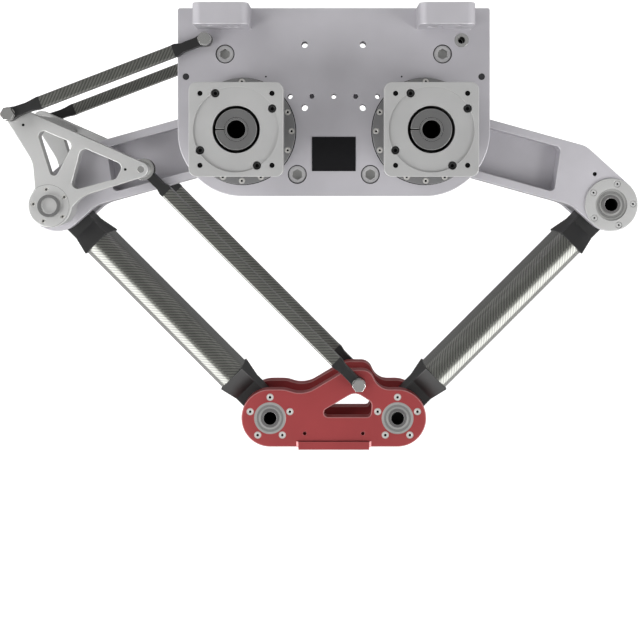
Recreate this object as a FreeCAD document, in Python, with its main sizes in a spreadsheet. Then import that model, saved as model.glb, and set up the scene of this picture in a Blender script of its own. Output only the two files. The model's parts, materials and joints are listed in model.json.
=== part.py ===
import FreeCAD, Part
import math
import os
import Sketcher

# Two-axis parallel robot that hangs from a beam.
# The origin is the middle of the plate's top face, X runs along the two shoulders,
# Y runs backwards from the drives to the arms and Z is up.

SIZES = {
    # Linkage, between pivot centres
    "shoulder_half": 125,
    "upper_length": 285,
    "upper_drop": 21,
    "lower_length": 426,
    "platform_half": 90,
    "short_pivot_out": 50,
    "short_pivot_up": 125,
    "long_pivot_in": 125,
    "long_pivot_up": 50,
    # Depth layers, from the arms' middle plane outwards
    "mid_depth": 71,
    "fork_half": 24,
    "arm_half": 42,
    "rod_inner": 44.5,
    "rocker_inner": 60,
    "rocker_outer": 78,
    "short_rod_inner": 89.5,
    "side_gap": 0.3,
    "running_gap": 0.05,
    # Base plate
    "plate_half": 214,
    "plate_thickness": 30,
    "top_height": 169,
    "plate_below": 89,
    "plate_corner": 89,
    "plate_top_corner": 3,
    "plate_drive_bore": 58,
    "cap_screw_top_x": 149,
    "cap_screw_top_z": 106,
    "cap_screw_low_x": 50,
    "cap_screw_low_z": 59,
    "cap_screw_head": 12,
    "cap_screw_rim": 0.7,
    "cap_screw_shank": 8,
    "cap_screw_sink": 17,
    "cap_screw_head_height": 16,
    "cap_screw_end": 18,
    "cap_screw_socket": 8,
    "cap_screw_socket_depth": 8,
    "hole_grid_x": 40,
    "hole_grid_high": 119,
    "hole_grid_low": 32.7,
    "hole_grid_bore": 4.5,
    "row_height": 48,
    "row_pitch": 30,
    "row_bore": 3.4,
    "row_blind": 15,
    "plug_x": 202.6,
    "plug_z": 75,
    "plug_radius": 4.5,
    "plug_depth": 8,
    "label_width": 60,
    "label_height": 47,
    "label_thickness": 1,
    "label_z": 31,
    "bush_radius": 9.5,
    "bush_bore": 4.8,
    # Hanger bosses
    "boss_inner_x": 113,
    "boss_outer_x": 187.5,
    "boss_depth": 58,
    "boss_height": 29,
    "boss_corner": 12,
    "boss_bolt_x": 136,
    "boss_bolt_y": 30,
    "boss_bolt_bore": 8.5,
    "boss_bolt_sink": 11,
    "boss_sink_depth": 12,
    "boss_pin_x": 170,
    "boss_pin_y": 43,
    "boss_pin_bore": 6,
    "boss_pin_sink": 8,
    # Drives
    "adapter_front": 100,
    "adapter_thickness": 22,
    "adapter_half": 60.5,
    "adapter_corner": 10,
    "adapter_bore": 30.5,
    "pilot_radius": 55,
    "pilot_depth": 3,
    "motor_bolt_half": 46,
    "motor_bolt_bore": 3.4,
    "adapter_bolt_circle": 53.4,
    "adapter_bolt_angle": 30,
    "adapter_bolt_sink": 5.5,
    "adapter_bolt_head": 4.8,
    "adapter_bolt_depth": 9,
    "gearbox_radius": 52,
    "gearbox_bore_depth": 48,
    "ring_radius": 72.5,
    "ring_thickness": 12,
    "ring_screw_circle": 67.5,
    "ring_screw_count": 16,
    "ring_screw_head": 4.2,
    "ring_screw_rim": 0.4,
    "ring_screw_depth": 5,
    "hub_radius": 26.5,
    "hub_recess": 3,
    "hub_length": 36,
    "hub_slit": 1.5,
    "shaft_bush_radius": 15,
    "shaft_bore": 12,
    "flange_radius": 60,
    # Upper arms
    "arm_hub_radius": 74,
    "arm_slope": 15.5,
    "beam_half": 43,
    "bend_slope": 42.2,
    "elbow_radius": 38,
    "bend_round": 30,
    "throat_round": 40,
    "beam_rim": 11.5,
    "pocket_start": 84,
    "pocket_end": 194,
    "pocket_lean": 8,
    "pocket_round": 7,
    "pocket_depth": 30,
    "fork_reach": 54,
    "arm_back_bore": 45,
    "arm_back_depth": 24,
    "arm_hole_back": 22.7,
    "arm_hole_up": 43.1,
    "arm_hole_bore": 3,
    "elbow_cap_radius": 37,
    "elbow_cap_thickness": 3,
    "elbow_screw_circle": 30.4,
    "elbow_screw_head": 4.3,
    "elbow_screw_rim": 0.4,
    # Pivots
    "pivot_radius": 13.3,
    "pivot_bore": 9.2,
    "bearing_radius": 22.4,
    "pivot_proud": 1,
    "screw_count": 5,
    # Lower arms
    "tube_width": 42,
    "tube_depth": 80,
    "tube_round": 15,
    "tube_wall": 3,
    "tube_start": 78,
    "tongue_radius": 18.5,
    "tongue_end": 51,
    "plug_length": 30,
    # Rods
    "rod_width": 17,
    "rod_depth": 13,
    "rod_wall": 2,
    "rod_start": 46,
    "rod_eye": 9.5,
    "rod_neck": 26,
    "rod_plug": 20,
    "pin_radius": 4.75,
    "bolt_head_across": 17,
    "bolt_head_height": 7,
    "washer_radius": 9,
    # Rocker
    "rocker_hub": 30,
    "rocker_hub_sink": 15.6,
    "rocker_sink_depth": 4,
    "rocker_boss": 9,
    "rocker_tip_short": 12,
    "rocker_tip_long": 10,
    "rocker_bar_thickness": 11,
    "rocker_screw_circle": 23,
    "rocker_screw_head": 3.2,
    "rocker_screw_depth": 3,
    "shaft_nose": 11.3,
    "thrust_radius": 15,
    # Platform
    "lobe_radius": 40.5,
    "platform_screw_circle": 29.5,
    "platform_screw_head": 5,
    "platform_screw_depth": 5,
    "tool_half": 50,
    "tool_drop": 44,
    "tool_height": 16,
    "tool_bolt_x": 30,
    "tool_bolt_y": 14,
    "tool_bolt_bore": 4.2,
    "tool_bolt_deep": 12,
    "platform_hole_x": 41,
    "platform_hole_z": 21.6,
    "platform_hole_bore": 2.6,
    "spacer_radius": 10,
}

DOC = FreeCAD.newDocument("ParallelRobot")
SHEET = DOC.addObject("Spreadsheet::Sheet", "D")
for row, (alias, size) in enumerate(SIZES.items(), start=1):
    SHEET.set(f"A{row}", alias)
    SHEET.set(f"B{row}", str(size))
    SHEET.setAlias(f"B{row}", alias)
DOC.recompute()

NODES = []

# Places that follow from the linkage
SHOULDER_Z = "(-D.top_height)"
ELBOW_X = "(D.shoulder_half + D.upper_length * cos(D.upper_drop))"
ELBOW_Z = "(-D.top_height - D.upper_length * sin(D.upper_drop))"
LOWER_RUN = f"({ELBOW_X} - D.platform_half)"
LOWER_FALL = f"sqrt(D.lower_length ^ 2 - {LOWER_RUN} ^ 2)"
LOWER_ANGLE = f"atan2({LOWER_FALL}; {LOWER_RUN})"
PLATFORM_Z = f"({ELBOW_Z} - {LOWER_FALL})"
ANCHOR_X = "(-D.shoulder_half - D.short_pivot_out)"
ANCHOR_Z = "(-D.top_height + D.short_pivot_up)"
ROD_TOP_X = f"(D.long_pivot_in - {ELBOW_X})"
ROD_TOP_Z = f"({ELBOW_Z} + D.long_pivot_up)"
ROD_LOW_X = "(D.long_pivot_in - D.platform_half)"
ROD_LOW_Z = f"({PLATFORM_Z} + D.long_pivot_up)"
PLATE_FRONT = "(-D.plate_thickness / 2)"
PLATE_BACK = "(D.plate_thickness / 2)"
ROD_OUTER = "(D.rod_inner + D.rod_depth)"
SHORT_ROD_OUTER = "(D.short_rod_inner + D.rod_depth)"


def amount(expression):
    """Give an expression over the sheet as a plain number."""
    value = SHEET.evalExpression(expression)
    return float(getattr(value, "Value", value))


def place(item, x, y, z, turn=None):
    """Bind a piece's place, and its turn in the plane of the arms where it has one."""
    axis = FreeCAD.Vector(0, -1, 0)
    item.Placement = FreeCAD.Placement(FreeCAD.Vector(), FreeCAD.Rotation(axis, 1 if turn else 0))
    item.setExpression("Placement.Base.x", x)
    item.setExpression("Placement.Base.y", y)
    item.setExpression("Placement.Base.z", z)
    if turn:
        item.setExpression("Placement.Rotation.Angle", turn)


def start_body(label, x="0", y="0", z="0", turn=None):
    """Start a piece in a body of its own."""
    body = DOC.addObject("PartDesign::Body", label)
    body.Label = label
    body.AllowCompound = True
    place(body, x, y, z, turn)
    NODES.append(body)
    return body


def half_turn(body):
    """Turn a piece about the upright axis, which makes the left one of a pair."""
    body.Placement.Rotation = FreeCAD.Rotation(FreeCAD.Vector(0, 0, 1), 180)


def pin_point(sketch, geometry, position, x, y):
    """Fix a point of a sketch at two expressions."""
    for kind, axis, value in (("DistanceX", -2, x), ("DistanceY", -1, y)):
        if value == "0":
            sketch.addConstraint(Sketcher.Constraint("PointOnObject", geometry, position, axis))
            continue
        index = sketch.addConstraint(
            Sketcher.Constraint(kind, -1, 1, geometry, position, amount(value)))
        sketch.setExpression(f"Constraints[{index}]", value)


def draw_circle(sketch, x, y, radius):
    """Draw a circle whose centre and radius follow expressions."""
    centre = FreeCAD.Vector(amount(x), amount(y), 0)
    shape = Part.Circle(centre, FreeCAD.Vector(0, 0, 1), amount(radius))
    circle = sketch.addGeometry(shape)
    pin_point(sketch, circle, 3, x, y)
    index = sketch.addConstraint(Sketcher.Constraint("Radius", circle, amount(radius)))
    sketch.setExpression(f"Constraints[{index}]", radius)


def corner_arc(corner, before, after, radius):
    """Give the arc that rounds a corner, with the places where it starts and ends."""
    back = (before - corner).normalize()
    ahead = (after - corner).normalize()
    half = back.getAngle(ahead) / 2
    reach = radius / math.tan(half)
    centre = corner + (back + ahead).normalize() * (radius / math.sin(half))
    start = corner + back * reach
    end = corner + ahead * reach
    return centre, start, end


def draw_outline(sketch, corners):
    """Draw a closed outline through corners, each (x, y, radius), whose rounds are tangent arcs."""
    count = len(corners)
    points = [FreeCAD.Vector(amount(x), amount(y), 0) for x, y, radius in corners]
    starts = []
    ends = []
    arcs = []
    for index, point in enumerate(points):
        radius = amount(corners[index][2])
        before = points[index - 1]
        after = points[(index + 1) % count]
        if radius == 0:
            starts.append(point)
            ends.append(point)
            arcs.append(None)
            continue
        centre, start, end = corner_arc(point, before, after, radius)
        starts.append(start)
        ends.append(end)
        first = math.atan2(start.y - centre.y, start.x - centre.x)
        last = math.atan2(end.y - centre.y, end.x - centre.x)
        turns_left = (point - before).cross(after - point).z > 0
        span = (first, last) if turns_left else (last, first)
        circle = Part.Circle(centre, FreeCAD.Vector(0, 0, 1), radius)
        arcs.append((Part.ArcOfCircle(circle, *span), turns_left))
    lines = []
    for index in range(count):
        segment = Part.LineSegment(ends[index], starts[(index + 1) % count])
        lines.append(sketch.addGeometry(segment))
    for index, (x, y, radius) in enumerate(corners):
        arriving = lines[index - 1]
        leaving = lines[index]
        if arcs[index] is None:
            sketch.addConstraint(Sketcher.Constraint("Coincident", arriving, 2, leaving, 1))
            pin_point(sketch, leaving, 1, x, y)
            continue
        shape, turns_left = arcs[index]
        arc = sketch.addGeometry(shape)
        first_end, last_end = (1, 2) if turns_left else (2, 1)
        corner = sketch.addGeometry(Part.Point(points[index]), True)
        sketch.addConstraint([
            Sketcher.Constraint("Tangent", arriving, 2, arc, first_end),
            Sketcher.Constraint("Tangent", arc, last_end, leaving, 1),
            Sketcher.Constraint("PointOnObject", corner, 1, arriving),
            Sketcher.Constraint("PointOnObject", corner, 1, leaving),
        ])
        pin_point(sketch, corner, 1, x, y)
        bend = sketch.addConstraint(Sketcher.Constraint("Radius", arc, amount(radius)))
        sketch.setExpression(f"Constraints[{bend}]", radius)


def start_sketch(body, role, offset, outlines, circles):
    """Draw outlines and circles on a plane of the body's own origin."""
    plane = next(item for item in body.Origin.OriginFeatures if item.Role == role)
    sketch = body.newObject("Sketcher::SketchObject", "Sketch")
    sketch.AttachmentSupport = [(plane, "")]
    sketch.MapMode = "FlatFace"
    sketch.setExpression("AttachmentOffset.Base.z", offset)
    for corners in outlines:
        draw_outline(sketch, corners)
    for x, y, radius in circles:
        draw_circle(sketch, x, y, radius)
    return sketch


def slab(body, near, far, outlines=(), circles=()):
    """Add material between two depths, drawn as seen from the front."""
    sketch = start_sketch(body, "XZ_Plane", f"-({far})", outlines, circles)
    pad = body.newObject("PartDesign::Pad", "Pad")
    pad.Profile = sketch
    pad.setExpression("Length", f"({far}) - ({near})")
    DOC.recompute()


def prism(body, low, high, outlines=(), circles=()):
    """Add material between two heights, drawn as seen from above."""
    sketch = start_sketch(body, "XY_Plane", low, outlines, circles)
    pad = body.newObject("PartDesign::Pad", "Pad")
    pad.Profile = sketch
    pad.setExpression("Length", f"({high}) - ({low})")
    DOC.recompute()


def cut(body, role, offset, depth, outlines=(), circles=(), flip=False):
    """Take material away, and stop if nothing was cut."""
    before = body.Shape.Volume
    sketch = start_sketch(body, role, offset, outlines, circles)
    pocket = body.newObject("PartDesign::Pocket", "Pocket")
    pocket.Profile = sketch
    pocket.Reversed = flip
    pocket.setExpression("Length", depth)
    DOC.recompute()
    if body.Shape.Volume >= before:
        raise RuntimeError(f"{body.Label}: a pocket removed nothing")


def bore(body, near, far, circles=(), outlines=()):
    """Cut between two depths, drawn as seen from the front."""
    cut(body, "XZ_Plane", f"-({near})", f"({far}) - ({near})", outlines, circles)


def span(side, inner, outer):
    """Give near and far depths of a layer on one side of the middle plane."""
    if side < 0:
        return f"-({outer})", f"-({inner})"
    return inner, outer


def circle_of(count, radius, first, x="0", z="0"):
    """Give evenly spaced places on a circle."""
    places = []
    for index in range(count):
        angle = f"({first} + 360 * {index} / {count})"
        places.append((f"({x} + {radius} * cos({angle}))", f"({z} + {radius} * sin({angle}))"))
    return places


def at_places(places, radius):
    """Give one circle at each place."""
    return [(x, z, radius) for x, z in places]


def hexagon(x, z, across):
    """Give a hexagon by its size across flats, with a corner at the top."""
    corners = []
    for x_place, z_place in circle_of(6, f"({across} / 2 / cos(30))", "90", x, z):
        corners.append((x_place, z_place, "0"))
    return corners


# Frame: the plate with its bosses, screws, plugs, label and rod anchors

CAP_SCREWS = [
    ("-D.cap_screw_top_x", f"({SHOULDER_Z} + D.cap_screw_top_z)"),
    ("D.cap_screw_top_x", f"({SHOULDER_Z} + D.cap_screw_top_z)"),
    ("-D.cap_screw_low_x", f"({SHOULDER_Z} - D.cap_screw_low_z)"),
    ("D.cap_screw_low_x", f"({SHOULDER_Z} - D.cap_screw_low_z)"),
]
PLUGS = [(x, f"({SHOULDER_Z} + D.plug_z)") for x in ("-D.plug_x", "D.plug_x")]
ANCHORS = [(ANCHOR_X, ANCHOR_Z), (f"(-{ANCHOR_X})", ANCHOR_Z)]


def make_base_plate():
    """Base plate, milled in one piece with its two hanger bosses."""
    body = start_body("base_plate")
    low = f"({SHOULDER_Z} - D.plate_below)"
    outline = [
        ("-D.plate_half", low, "D.plate_corner"),
        ("D.plate_half", low, "D.plate_corner"),
        ("D.plate_half", "0", "D.plate_top_corner"),
        ("-D.plate_half", "0", "D.plate_top_corner"),
    ]
    slab(body, PLATE_FRONT, PLATE_BACK, [outline])
    for side in ("-", ""):
        front = f"({PLATE_FRONT} - D.boss_depth)"
        back = "0"
        boss = [
            (f"{side}D.boss_inner_x", front, "D.boss_corner"),
            (f"{side}D.boss_outer_x", front, "D.boss_corner"),
            (f"{side}D.boss_outer_x", back, "0"),
            (f"{side}D.boss_inner_x", back, "0"),
        ]
        prism(body, "-D.boss_height", "0", [boss])
    bolt_y = f"({PLATE_FRONT} - D.boss_bolt_y)"
    pin_y = f"({PLATE_FRONT} - D.boss_pin_y)"
    bolts = [(f"{side}D.boss_bolt_x", bolt_y) for side in ("-", "")]
    pins = [(f"{side}D.boss_pin_x", pin_y) for side in ("-", "")]
    holes = at_places(bolts, "D.boss_bolt_bore") + at_places(pins, "D.boss_pin_bore")
    sinks = at_places(bolts, "D.boss_bolt_sink") + at_places(pins, "D.boss_pin_sink")
    cut(body, "XY_Plane", "0", "D.boss_height", circles=holes)
    sink_top = "(D.boss_sink_depth - D.boss_height)"
    cut(body, "XY_Plane", sink_top, "D.boss_sink_depth", circles=sinks)
    through = []
    for side in ("-", ""):
        through.append((f"{side}D.shoulder_half", SHOULDER_Z, "D.plate_drive_bore"))
        for height in ("D.hole_grid_high", "D.hole_grid_low"):
            place_z = f"({SHOULDER_Z} + {height})"
            through.append((f"{side}D.hole_grid_x", place_z, "D.hole_grid_bore"))
    row_z = f"({SHOULDER_Z} + D.row_height)"
    for place_x in ("-2 * D.row_pitch", "0", "2 * D.row_pitch"):
        through.append((place_x, row_z, "D.row_bore"))
    through += at_places(CAP_SCREWS, "(D.cap_screw_shank + D.side_gap)")
    through += at_places(ANCHORS, "(D.bush_radius + D.running_gap)")
    bore(body, PLATE_FRONT, PLATE_BACK, through)
    blind = [(f"{side}D.row_pitch", row_z, "D.row_bore") for side in ("-", "")]
    bore(body, PLATE_FRONT, f"({PLATE_FRONT} + D.row_blind)", blind)
    bore(body, PLATE_FRONT, f"({PLATE_FRONT} + D.plug_depth)",
         at_places(PLUGS, "(D.plug_radius + D.running_gap)"))
    bore(body, PLATE_FRONT, f"({PLATE_FRONT} + D.cap_screw_sink)",
         at_places(CAP_SCREWS, "(D.cap_screw_head + D.cap_screw_rim)"))


def make_frame_fittings():
    """Screws, plugs, label and bushes of the base plate."""
    screws = start_body("plate_cap_screws")
    seat = f"({PLATE_FRONT} + D.cap_screw_sink)"
    head = f"({seat} - D.cap_screw_head_height)"
    slab(screws, head, f"({PLATE_BACK} + D.cap_screw_end)", circles=at_places(CAP_SCREWS, "D.cap_screw_shank"))
    slab(screws, head, seat, circles=at_places(CAP_SCREWS, "D.cap_screw_head"))
    sockets = [hexagon(x, z, "(2 * D.cap_screw_socket)") for x, z in CAP_SCREWS]
    bore(screws, head, f"({head} + D.cap_screw_socket_depth)", outlines=sockets)
    plugs = start_body("edge_plugs")
    slab(plugs, PLATE_FRONT, f"({PLATE_FRONT} + D.plug_depth)", circles=at_places(PLUGS, "D.plug_radius"))
    label = start_body("label_plate", "0", PLATE_FRONT, f"({SHOULDER_Z} - D.label_z)")
    corners = []
    for side, height in (("-", "-"), ("", "-"), ("", ""), ("-", "")):
        corners.append((f"{side}D.label_width / 2", f"{height}D.label_height / 2", "0"))
    slab(label, "-D.label_thickness", "0", [corners])
    bushes = start_body("anchor_bushes")
    rings = at_places(ANCHORS, "D.bush_radius") + at_places(ANCHORS, "D.bush_bore")
    collar = f"({PLATE_FRONT} - D.side_gap)"
    slab(bushes, collar, PLATE_BACK, circles=rings)


def make_rod_anchors():
    """Bolts of the short rods on the frame, and the post that carries the rear one."""
    rod_face = "(D.mid_depth - D.short_rod_inner + D.side_gap)"
    spacer = start_body("anchor_spacer", ANCHOR_X, "0", ANCHOR_Z)
    slab(spacer, rod_face, f"({PLATE_FRONT} - D.side_gap)",
         circles=[("0", "0", "D.washer_radius"), ("0", "0", "D.bush_bore")])
    bolt = start_body("anchor_bolts", ANCHOR_X, "0", ANCHOR_Z)
    head_seat = f"(D.mid_depth - {SHORT_ROD_OUTER} - D.side_gap)"
    slab(bolt, f"({head_seat} - D.bolt_head_height)", head_seat, [hexagon("0", "0", "D.bolt_head_across")])
    slab(bolt, head_seat, PLATE_BACK, circles=[("0", "0", "D.pin_radius")])
    post = start_body("rear_rod_post", ANCHOR_X, "0", ANCHOR_Z)
    rear_face = "(D.mid_depth + D.short_rod_inner - D.side_gap)"
    slab(post, PLATE_BACK, rear_face, circles=[("0", "0", "D.bush_radius")])
    slab(post, rear_face, f"(D.mid_depth + {SHORT_ROD_OUTER} + D.side_gap)", circles=[("0", "0", "D.pin_radius")])
    nut_face = f"(D.mid_depth + {SHORT_ROD_OUTER} + D.side_gap)"
    slab(bolt, nut_face, f"({nut_face} + D.bolt_head_height)", [hexagon("0", "0", "D.bolt_head_across")])


# Drives

def make_drive(name, x):
    """One drive: motor adapter, its screws, gearbox housing, ring screws, clamp hub and shaft bush."""
    front = f"({PLATE_FRONT} - D.adapter_front)"
    back = f"({front} + D.adapter_thickness)"
    adapter = start_body(f"{name}_motor_adapter", x, "0", SHOULDER_Z)
    corners = []
    for side, height in (("-", "-"), ("", "-"), ("", ""), ("-", "")):
        corners.append((f"{side}D.adapter_half", f"{height}D.adapter_half", "D.adapter_corner"))
    slab(adapter, front, back, [corners], [("0", "0", "D.adapter_bore")])
    bore(adapter, front, f"({front} + D.pilot_depth)", [("0", "0", "D.pilot_radius")])
    motor_holes = []
    for side, height in (("-", "-"), ("", "-"), ("", ""), ("-", "")):
        motor_holes.append((f"{side}D.motor_bolt_half", f"{height}D.motor_bolt_half", "D.motor_bolt_bore"))
    bore(adapter, front, back, motor_holes)
    bolts = circle_of(4, "D.adapter_bolt_circle", "D.adapter_bolt_angle")
    bore(adapter, front, f"({front} + D.adapter_bolt_depth)", at_places(bolts, "D.adapter_bolt_sink"))
    heads = start_body(f"{name}_adapter_screws", x, "0", SHOULDER_Z)
    seat = f"({front} + D.adapter_bolt_depth)"
    slab(heads, f"({seat} - D.adapter_bolt_head)", seat, circles=at_places(bolts, "D.adapter_bolt_head"))
    housing = start_body(f"{name}_gearbox_housing", x, "0", SHOULDER_Z)
    ring_front = f"({PLATE_FRONT} - D.ring_thickness)"
    slab(housing, back, ring_front, circles=[("0", "0", "D.gearbox_radius")])
    slab(housing, ring_front, PLATE_FRONT, circles=[("0", "0", "D.ring_radius")])
    spigot = "(D.plate_drive_bore - D.running_gap)"
    slab(housing, PLATE_FRONT, PLATE_BACK, circles=[("0", "0", spigot)])
    bore(housing, back, f"({back} + D.gearbox_bore_depth)", [("0", "0", "D.adapter_bore")])
    ring_places = circle_of(int(amount("D.ring_screw_count")), "D.ring_screw_circle", "0")
    bore(housing, ring_front, f"({ring_front} + D.ring_screw_depth)",
         at_places(ring_places, "(D.ring_screw_head + D.ring_screw_rim)"))
    ring_screws = start_body(f"{name}_ring_screws", x, "0", SHOULDER_Z)
    slab(ring_screws, ring_front, f"({ring_front} + D.ring_screw_depth)",
         circles=at_places(ring_places, "D.ring_screw_head"))
    hub = start_body(f"{name}_clamp_hub", x, "0", SHOULDER_Z)
    hub_front = f"({front} + D.hub_recess)"
    hub_back = f"({hub_front} + D.hub_length)"
    slab(hub, hub_front, hub_back,
         circles=[("0", "0", "D.hub_radius"), ("0", "0", "(D.shaft_bush_radius + D.running_gap)")])
    slit = [
        ("-D.hub_radius - D.hub_slit", "-D.hub_slit / 2", "0"),
        ("-D.shaft_bore", "-D.hub_slit / 2", "0"),
        ("-D.shaft_bore", "D.hub_slit / 2", "0"),
        ("-D.hub_radius - D.hub_slit", "D.hub_slit / 2", "0"),
    ]
    bore(hub, hub_front, hub_back, outlines=[slit])
    bush = start_body(f"{name}_shaft_bush", x, "0", SHOULDER_Z)
    bush_back = f"({back} + D.gearbox_bore_depth - D.side_gap)"
    slab(bush, hub_front, bush_back, circles=[("0", "0", "D.shaft_bush_radius")])
    bore(bush, hub_front, hub_back, [("0", "0", "D.shaft_bore")])


# Upper arms

K_UPPER = (f"(D.elbow_radius + ({ELBOW_X} - D.shoulder_half) * sin(D.bend_slope)"
           f" - D.upper_length * sin(D.upper_drop) * cos(D.bend_slope))")
K_LOWER = (f"(-D.elbow_radius + ({ELBOW_X} - D.shoulder_half) * sin(D.bend_slope)"
           f" - D.upper_length * sin(D.upper_drop) * cos(D.bend_slope))")
ARM_ELBOW_X = "(D.upper_length * cos(D.upper_drop))"
ARM_ELBOW_Z = "(-D.upper_length * sin(D.upper_drop))"


def bend_corner(beam_side, bend_distance):
    """Give the corner where a beam edge meets a bend edge, from the shoulder."""
    turn = "sin(D.arm_slope - D.bend_slope)"
    x = f"(({beam_side} * cos(D.bend_slope) - {bend_distance} * cos(D.arm_slope)) / {turn})"
    z = f"(({bend_distance} * sin(D.arm_slope) - {beam_side} * sin(D.bend_slope)) / {turn})"
    return x, z


def beam_point(along, offset):
    """Give a place by its distance along the beam's middle line and its offset above it."""
    x = f"({along} * cos(D.arm_slope) + ({offset}) * sin(D.arm_slope))"
    z = f"(-({along}) * sin(D.arm_slope) + ({offset}) * cos(D.arm_slope))"
    return x, z


def elbow_corner(side):
    """Give a corner of the elbow's round end, past the pivot on one side."""
    along_x = "D.elbow_radius * cos(D.bend_slope)"
    along_z = "D.elbow_radius * sin(D.bend_slope)"
    x = f"({ARM_ELBOW_X} + {along_x} {side} {along_z})"
    z = f"({ARM_ELBOW_Z} - {along_z} {side} {along_x})"
    return x, z


def make_upper_arm(name, sign):
    """Upper arm: round shoulder, bent beam with a pocket in each face, and forked elbow."""
    body = start_body(f"{name}_upper_arm", f"{sign}D.shoulder_half", "D.mid_depth", SHOULDER_Z)
    if sign:
        half_turn(body)
    outline = [
        (*beam_point("0", "D.beam_half"), "0"),
        (*beam_point("0", "-D.beam_half"), "0"),
        (*bend_corner("(-D.beam_half)", K_LOWER), "D.throat_round"),
        (*elbow_corner("-"), "D.elbow_radius - 0.01"),
        (*elbow_corner("+"), "D.elbow_radius - 0.01"),
        (*bend_corner("D.beam_half", K_UPPER), "D.bend_round"),
    ]
    slab(body, "-D.arm_half", "D.arm_half", [outline])
    slab(body, "-D.arm_half", "D.arm_half", circles=[("0", "0", "D.arm_hub_radius")])
    rim = "(D.beam_half - D.beam_rim)"
    pocket = [
        (*beam_point("D.pocket_start", rim), "D.pocket_round"),
        (*beam_point("D.pocket_start", f"-{rim}"), "D.pocket_round"),
        (*beam_point("(D.pocket_end + D.pocket_lean)", f"-{rim}"), "D.pocket_round"),
        (*beam_point("D.pocket_end", rim), "D.pocket_round"),
    ]
    bore(body, "-D.arm_half", "D.pocket_depth - D.arm_half", outlines=[pocket])
    bore(body, "D.arm_half - D.pocket_depth", "D.arm_half", outlines=[pocket])
    elbow = (ARM_ELBOW_X, ARM_ELBOW_Z)
    bore(body, "-D.fork_half", "D.fork_half", [(*elbow, "D.fork_reach")])
    seat = "(D.bearing_radius + D.running_gap)"
    hole = (f"({ARM_ELBOW_X} - D.arm_hole_back)", f"({ARM_ELBOW_Z} + D.arm_hole_up)", "D.arm_hole_bore")
    bore(body, "-D.arm_half", "D.arm_half", [(*elbow, seat), hole])
    rear = -1 if sign else 1
    near, far = span(rear, "(D.arm_half - D.arm_back_depth)", "D.arm_half")
    bore(body, near, far, [("0", "0", "D.arm_back_bore")])
    flange = start_body(f"{name}_output_flange", f"{sign}D.shoulder_half", "0", SHOULDER_Z)
    slab(flange, f"({PLATE_BACK} + D.side_gap)", "(D.mid_depth - D.arm_half)",
         circles=[("0", "0", "D.flange_radius")])


def ring(label, x, z, spans, outer, inner):
    """One node of like rings about one axis."""
    body = start_body(label, x, "D.mid_depth", z)
    for near, far in spans:
        slab(body, near, far, circles=[("0", "0", outer), ("0", "0", inner)])


BOTH_EARS = [span(-1, "D.fork_half", "D.arm_half"), span(1, "D.fork_half", "D.arm_half")]
SEATED_PIVOT = "(D.pivot_radius + D.running_gap)"


def make_elbows():
    """Bearings, caps, screws and shafts of the two elbows."""
    ring("left_elbow_bearings", f"(-{ELBOW_X})", ELBOW_Z, BOTH_EARS, "D.bearing_radius", SEATED_PIVOT)
    ring("right_elbow_bearings", ELBOW_X, ELBOW_Z, BOTH_EARS, "D.bearing_radius", SEATED_PIVOT)
    cap_outer = "(D.arm_half + D.elbow_cap_thickness)"
    caps = start_body("right_elbow_caps", ELBOW_X, "D.mid_depth", ELBOW_Z)
    places = circle_of(int(amount("D.screw_count")), "D.elbow_screw_circle", "2")
    holes = at_places(places, "(D.elbow_screw_head + D.elbow_screw_rim)")
    for side in (-1, 1):
        near, far = span(side, "D.arm_half", cap_outer)
        rims = [("0", "0", "D.elbow_cap_radius"), ("0", "0", "D.bearing_radius")]
        slab(caps, near, far, circles=rims + holes)
    screws = start_body("right_elbow_screws", ELBOW_X, "D.mid_depth", ELBOW_Z)
    for side in (-1, 1):
        near, far = span(side, "D.arm_half", cap_outer)
        slab(screws, near, far, circles=at_places(places, "D.elbow_screw_head"))
    right_end = "(D.arm_half + D.elbow_cap_thickness - D.pivot_proud)"
    ring("right_elbow_shaft", ELBOW_X, ELBOW_Z, [(f"-{right_end}", right_end)], "D.pivot_radius", "D.pivot_bore")
    shaft = start_body("left_elbow_shaft", f"(-{ELBOW_X})", "D.mid_depth", ELBOW_Z)
    shoulder = "(D.rocker_outer - D.rocker_sink_depth)"
    slab(shaft, f"-{shoulder}", shoulder, circles=[("0", "0", "D.pivot_radius")])
    for side in (-1, 1):
        near, far = span(side, shoulder, "(D.rocker_outer - D.side_gap)")
        slab(shaft, near, far, circles=[("0", "0", "D.shaft_nose")])


# Lower arms and rods: a carbon tube with a fitting glued into each end

def rectangle(length_start, length_end, half_width, radius):
    """Give a rectangle that lies along the local X axis."""
    return [
        (length_start, f"-({half_width})", radius),
        (length_end, f"-({half_width})", radius),
        (length_end, half_width, radius),
        (length_start, half_width, radius),
    ]


def section_tube(label, place_args, start, end, width, depth, corner, wall):
    """Tube of rounded rectangular section between two distances along the local X axis."""
    body = start_body(label, *place_args)
    outer = [(f"{s}{depth} / 2", f"{t}{width} / 2", corner) for s, t in (("-", "-"), ("", "-"), ("", ""), ("-", ""))]
    inner_half_depth = f"({depth} / 2 - {wall})"
    inner_half_width = f"({width} / 2 - {wall})"
    inner_corner = f"({corner} - {wall})"
    inner = []
    for s, t in (("-", "-"), ("", "-"), ("", ""), ("-", "")):
        inner.append((f"{s}{inner_half_depth}", f"{t}{inner_half_width}", inner_corner))
    sketch = start_sketch(body, "YZ_Plane", start, [outer, inner], [])
    pad = body.newObject("PartDesign::Pad", "Pad")
    pad.Profile = sketch
    pad.setExpression("Length", f"({end}) - ({start})")
    DOC.recompute()


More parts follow.
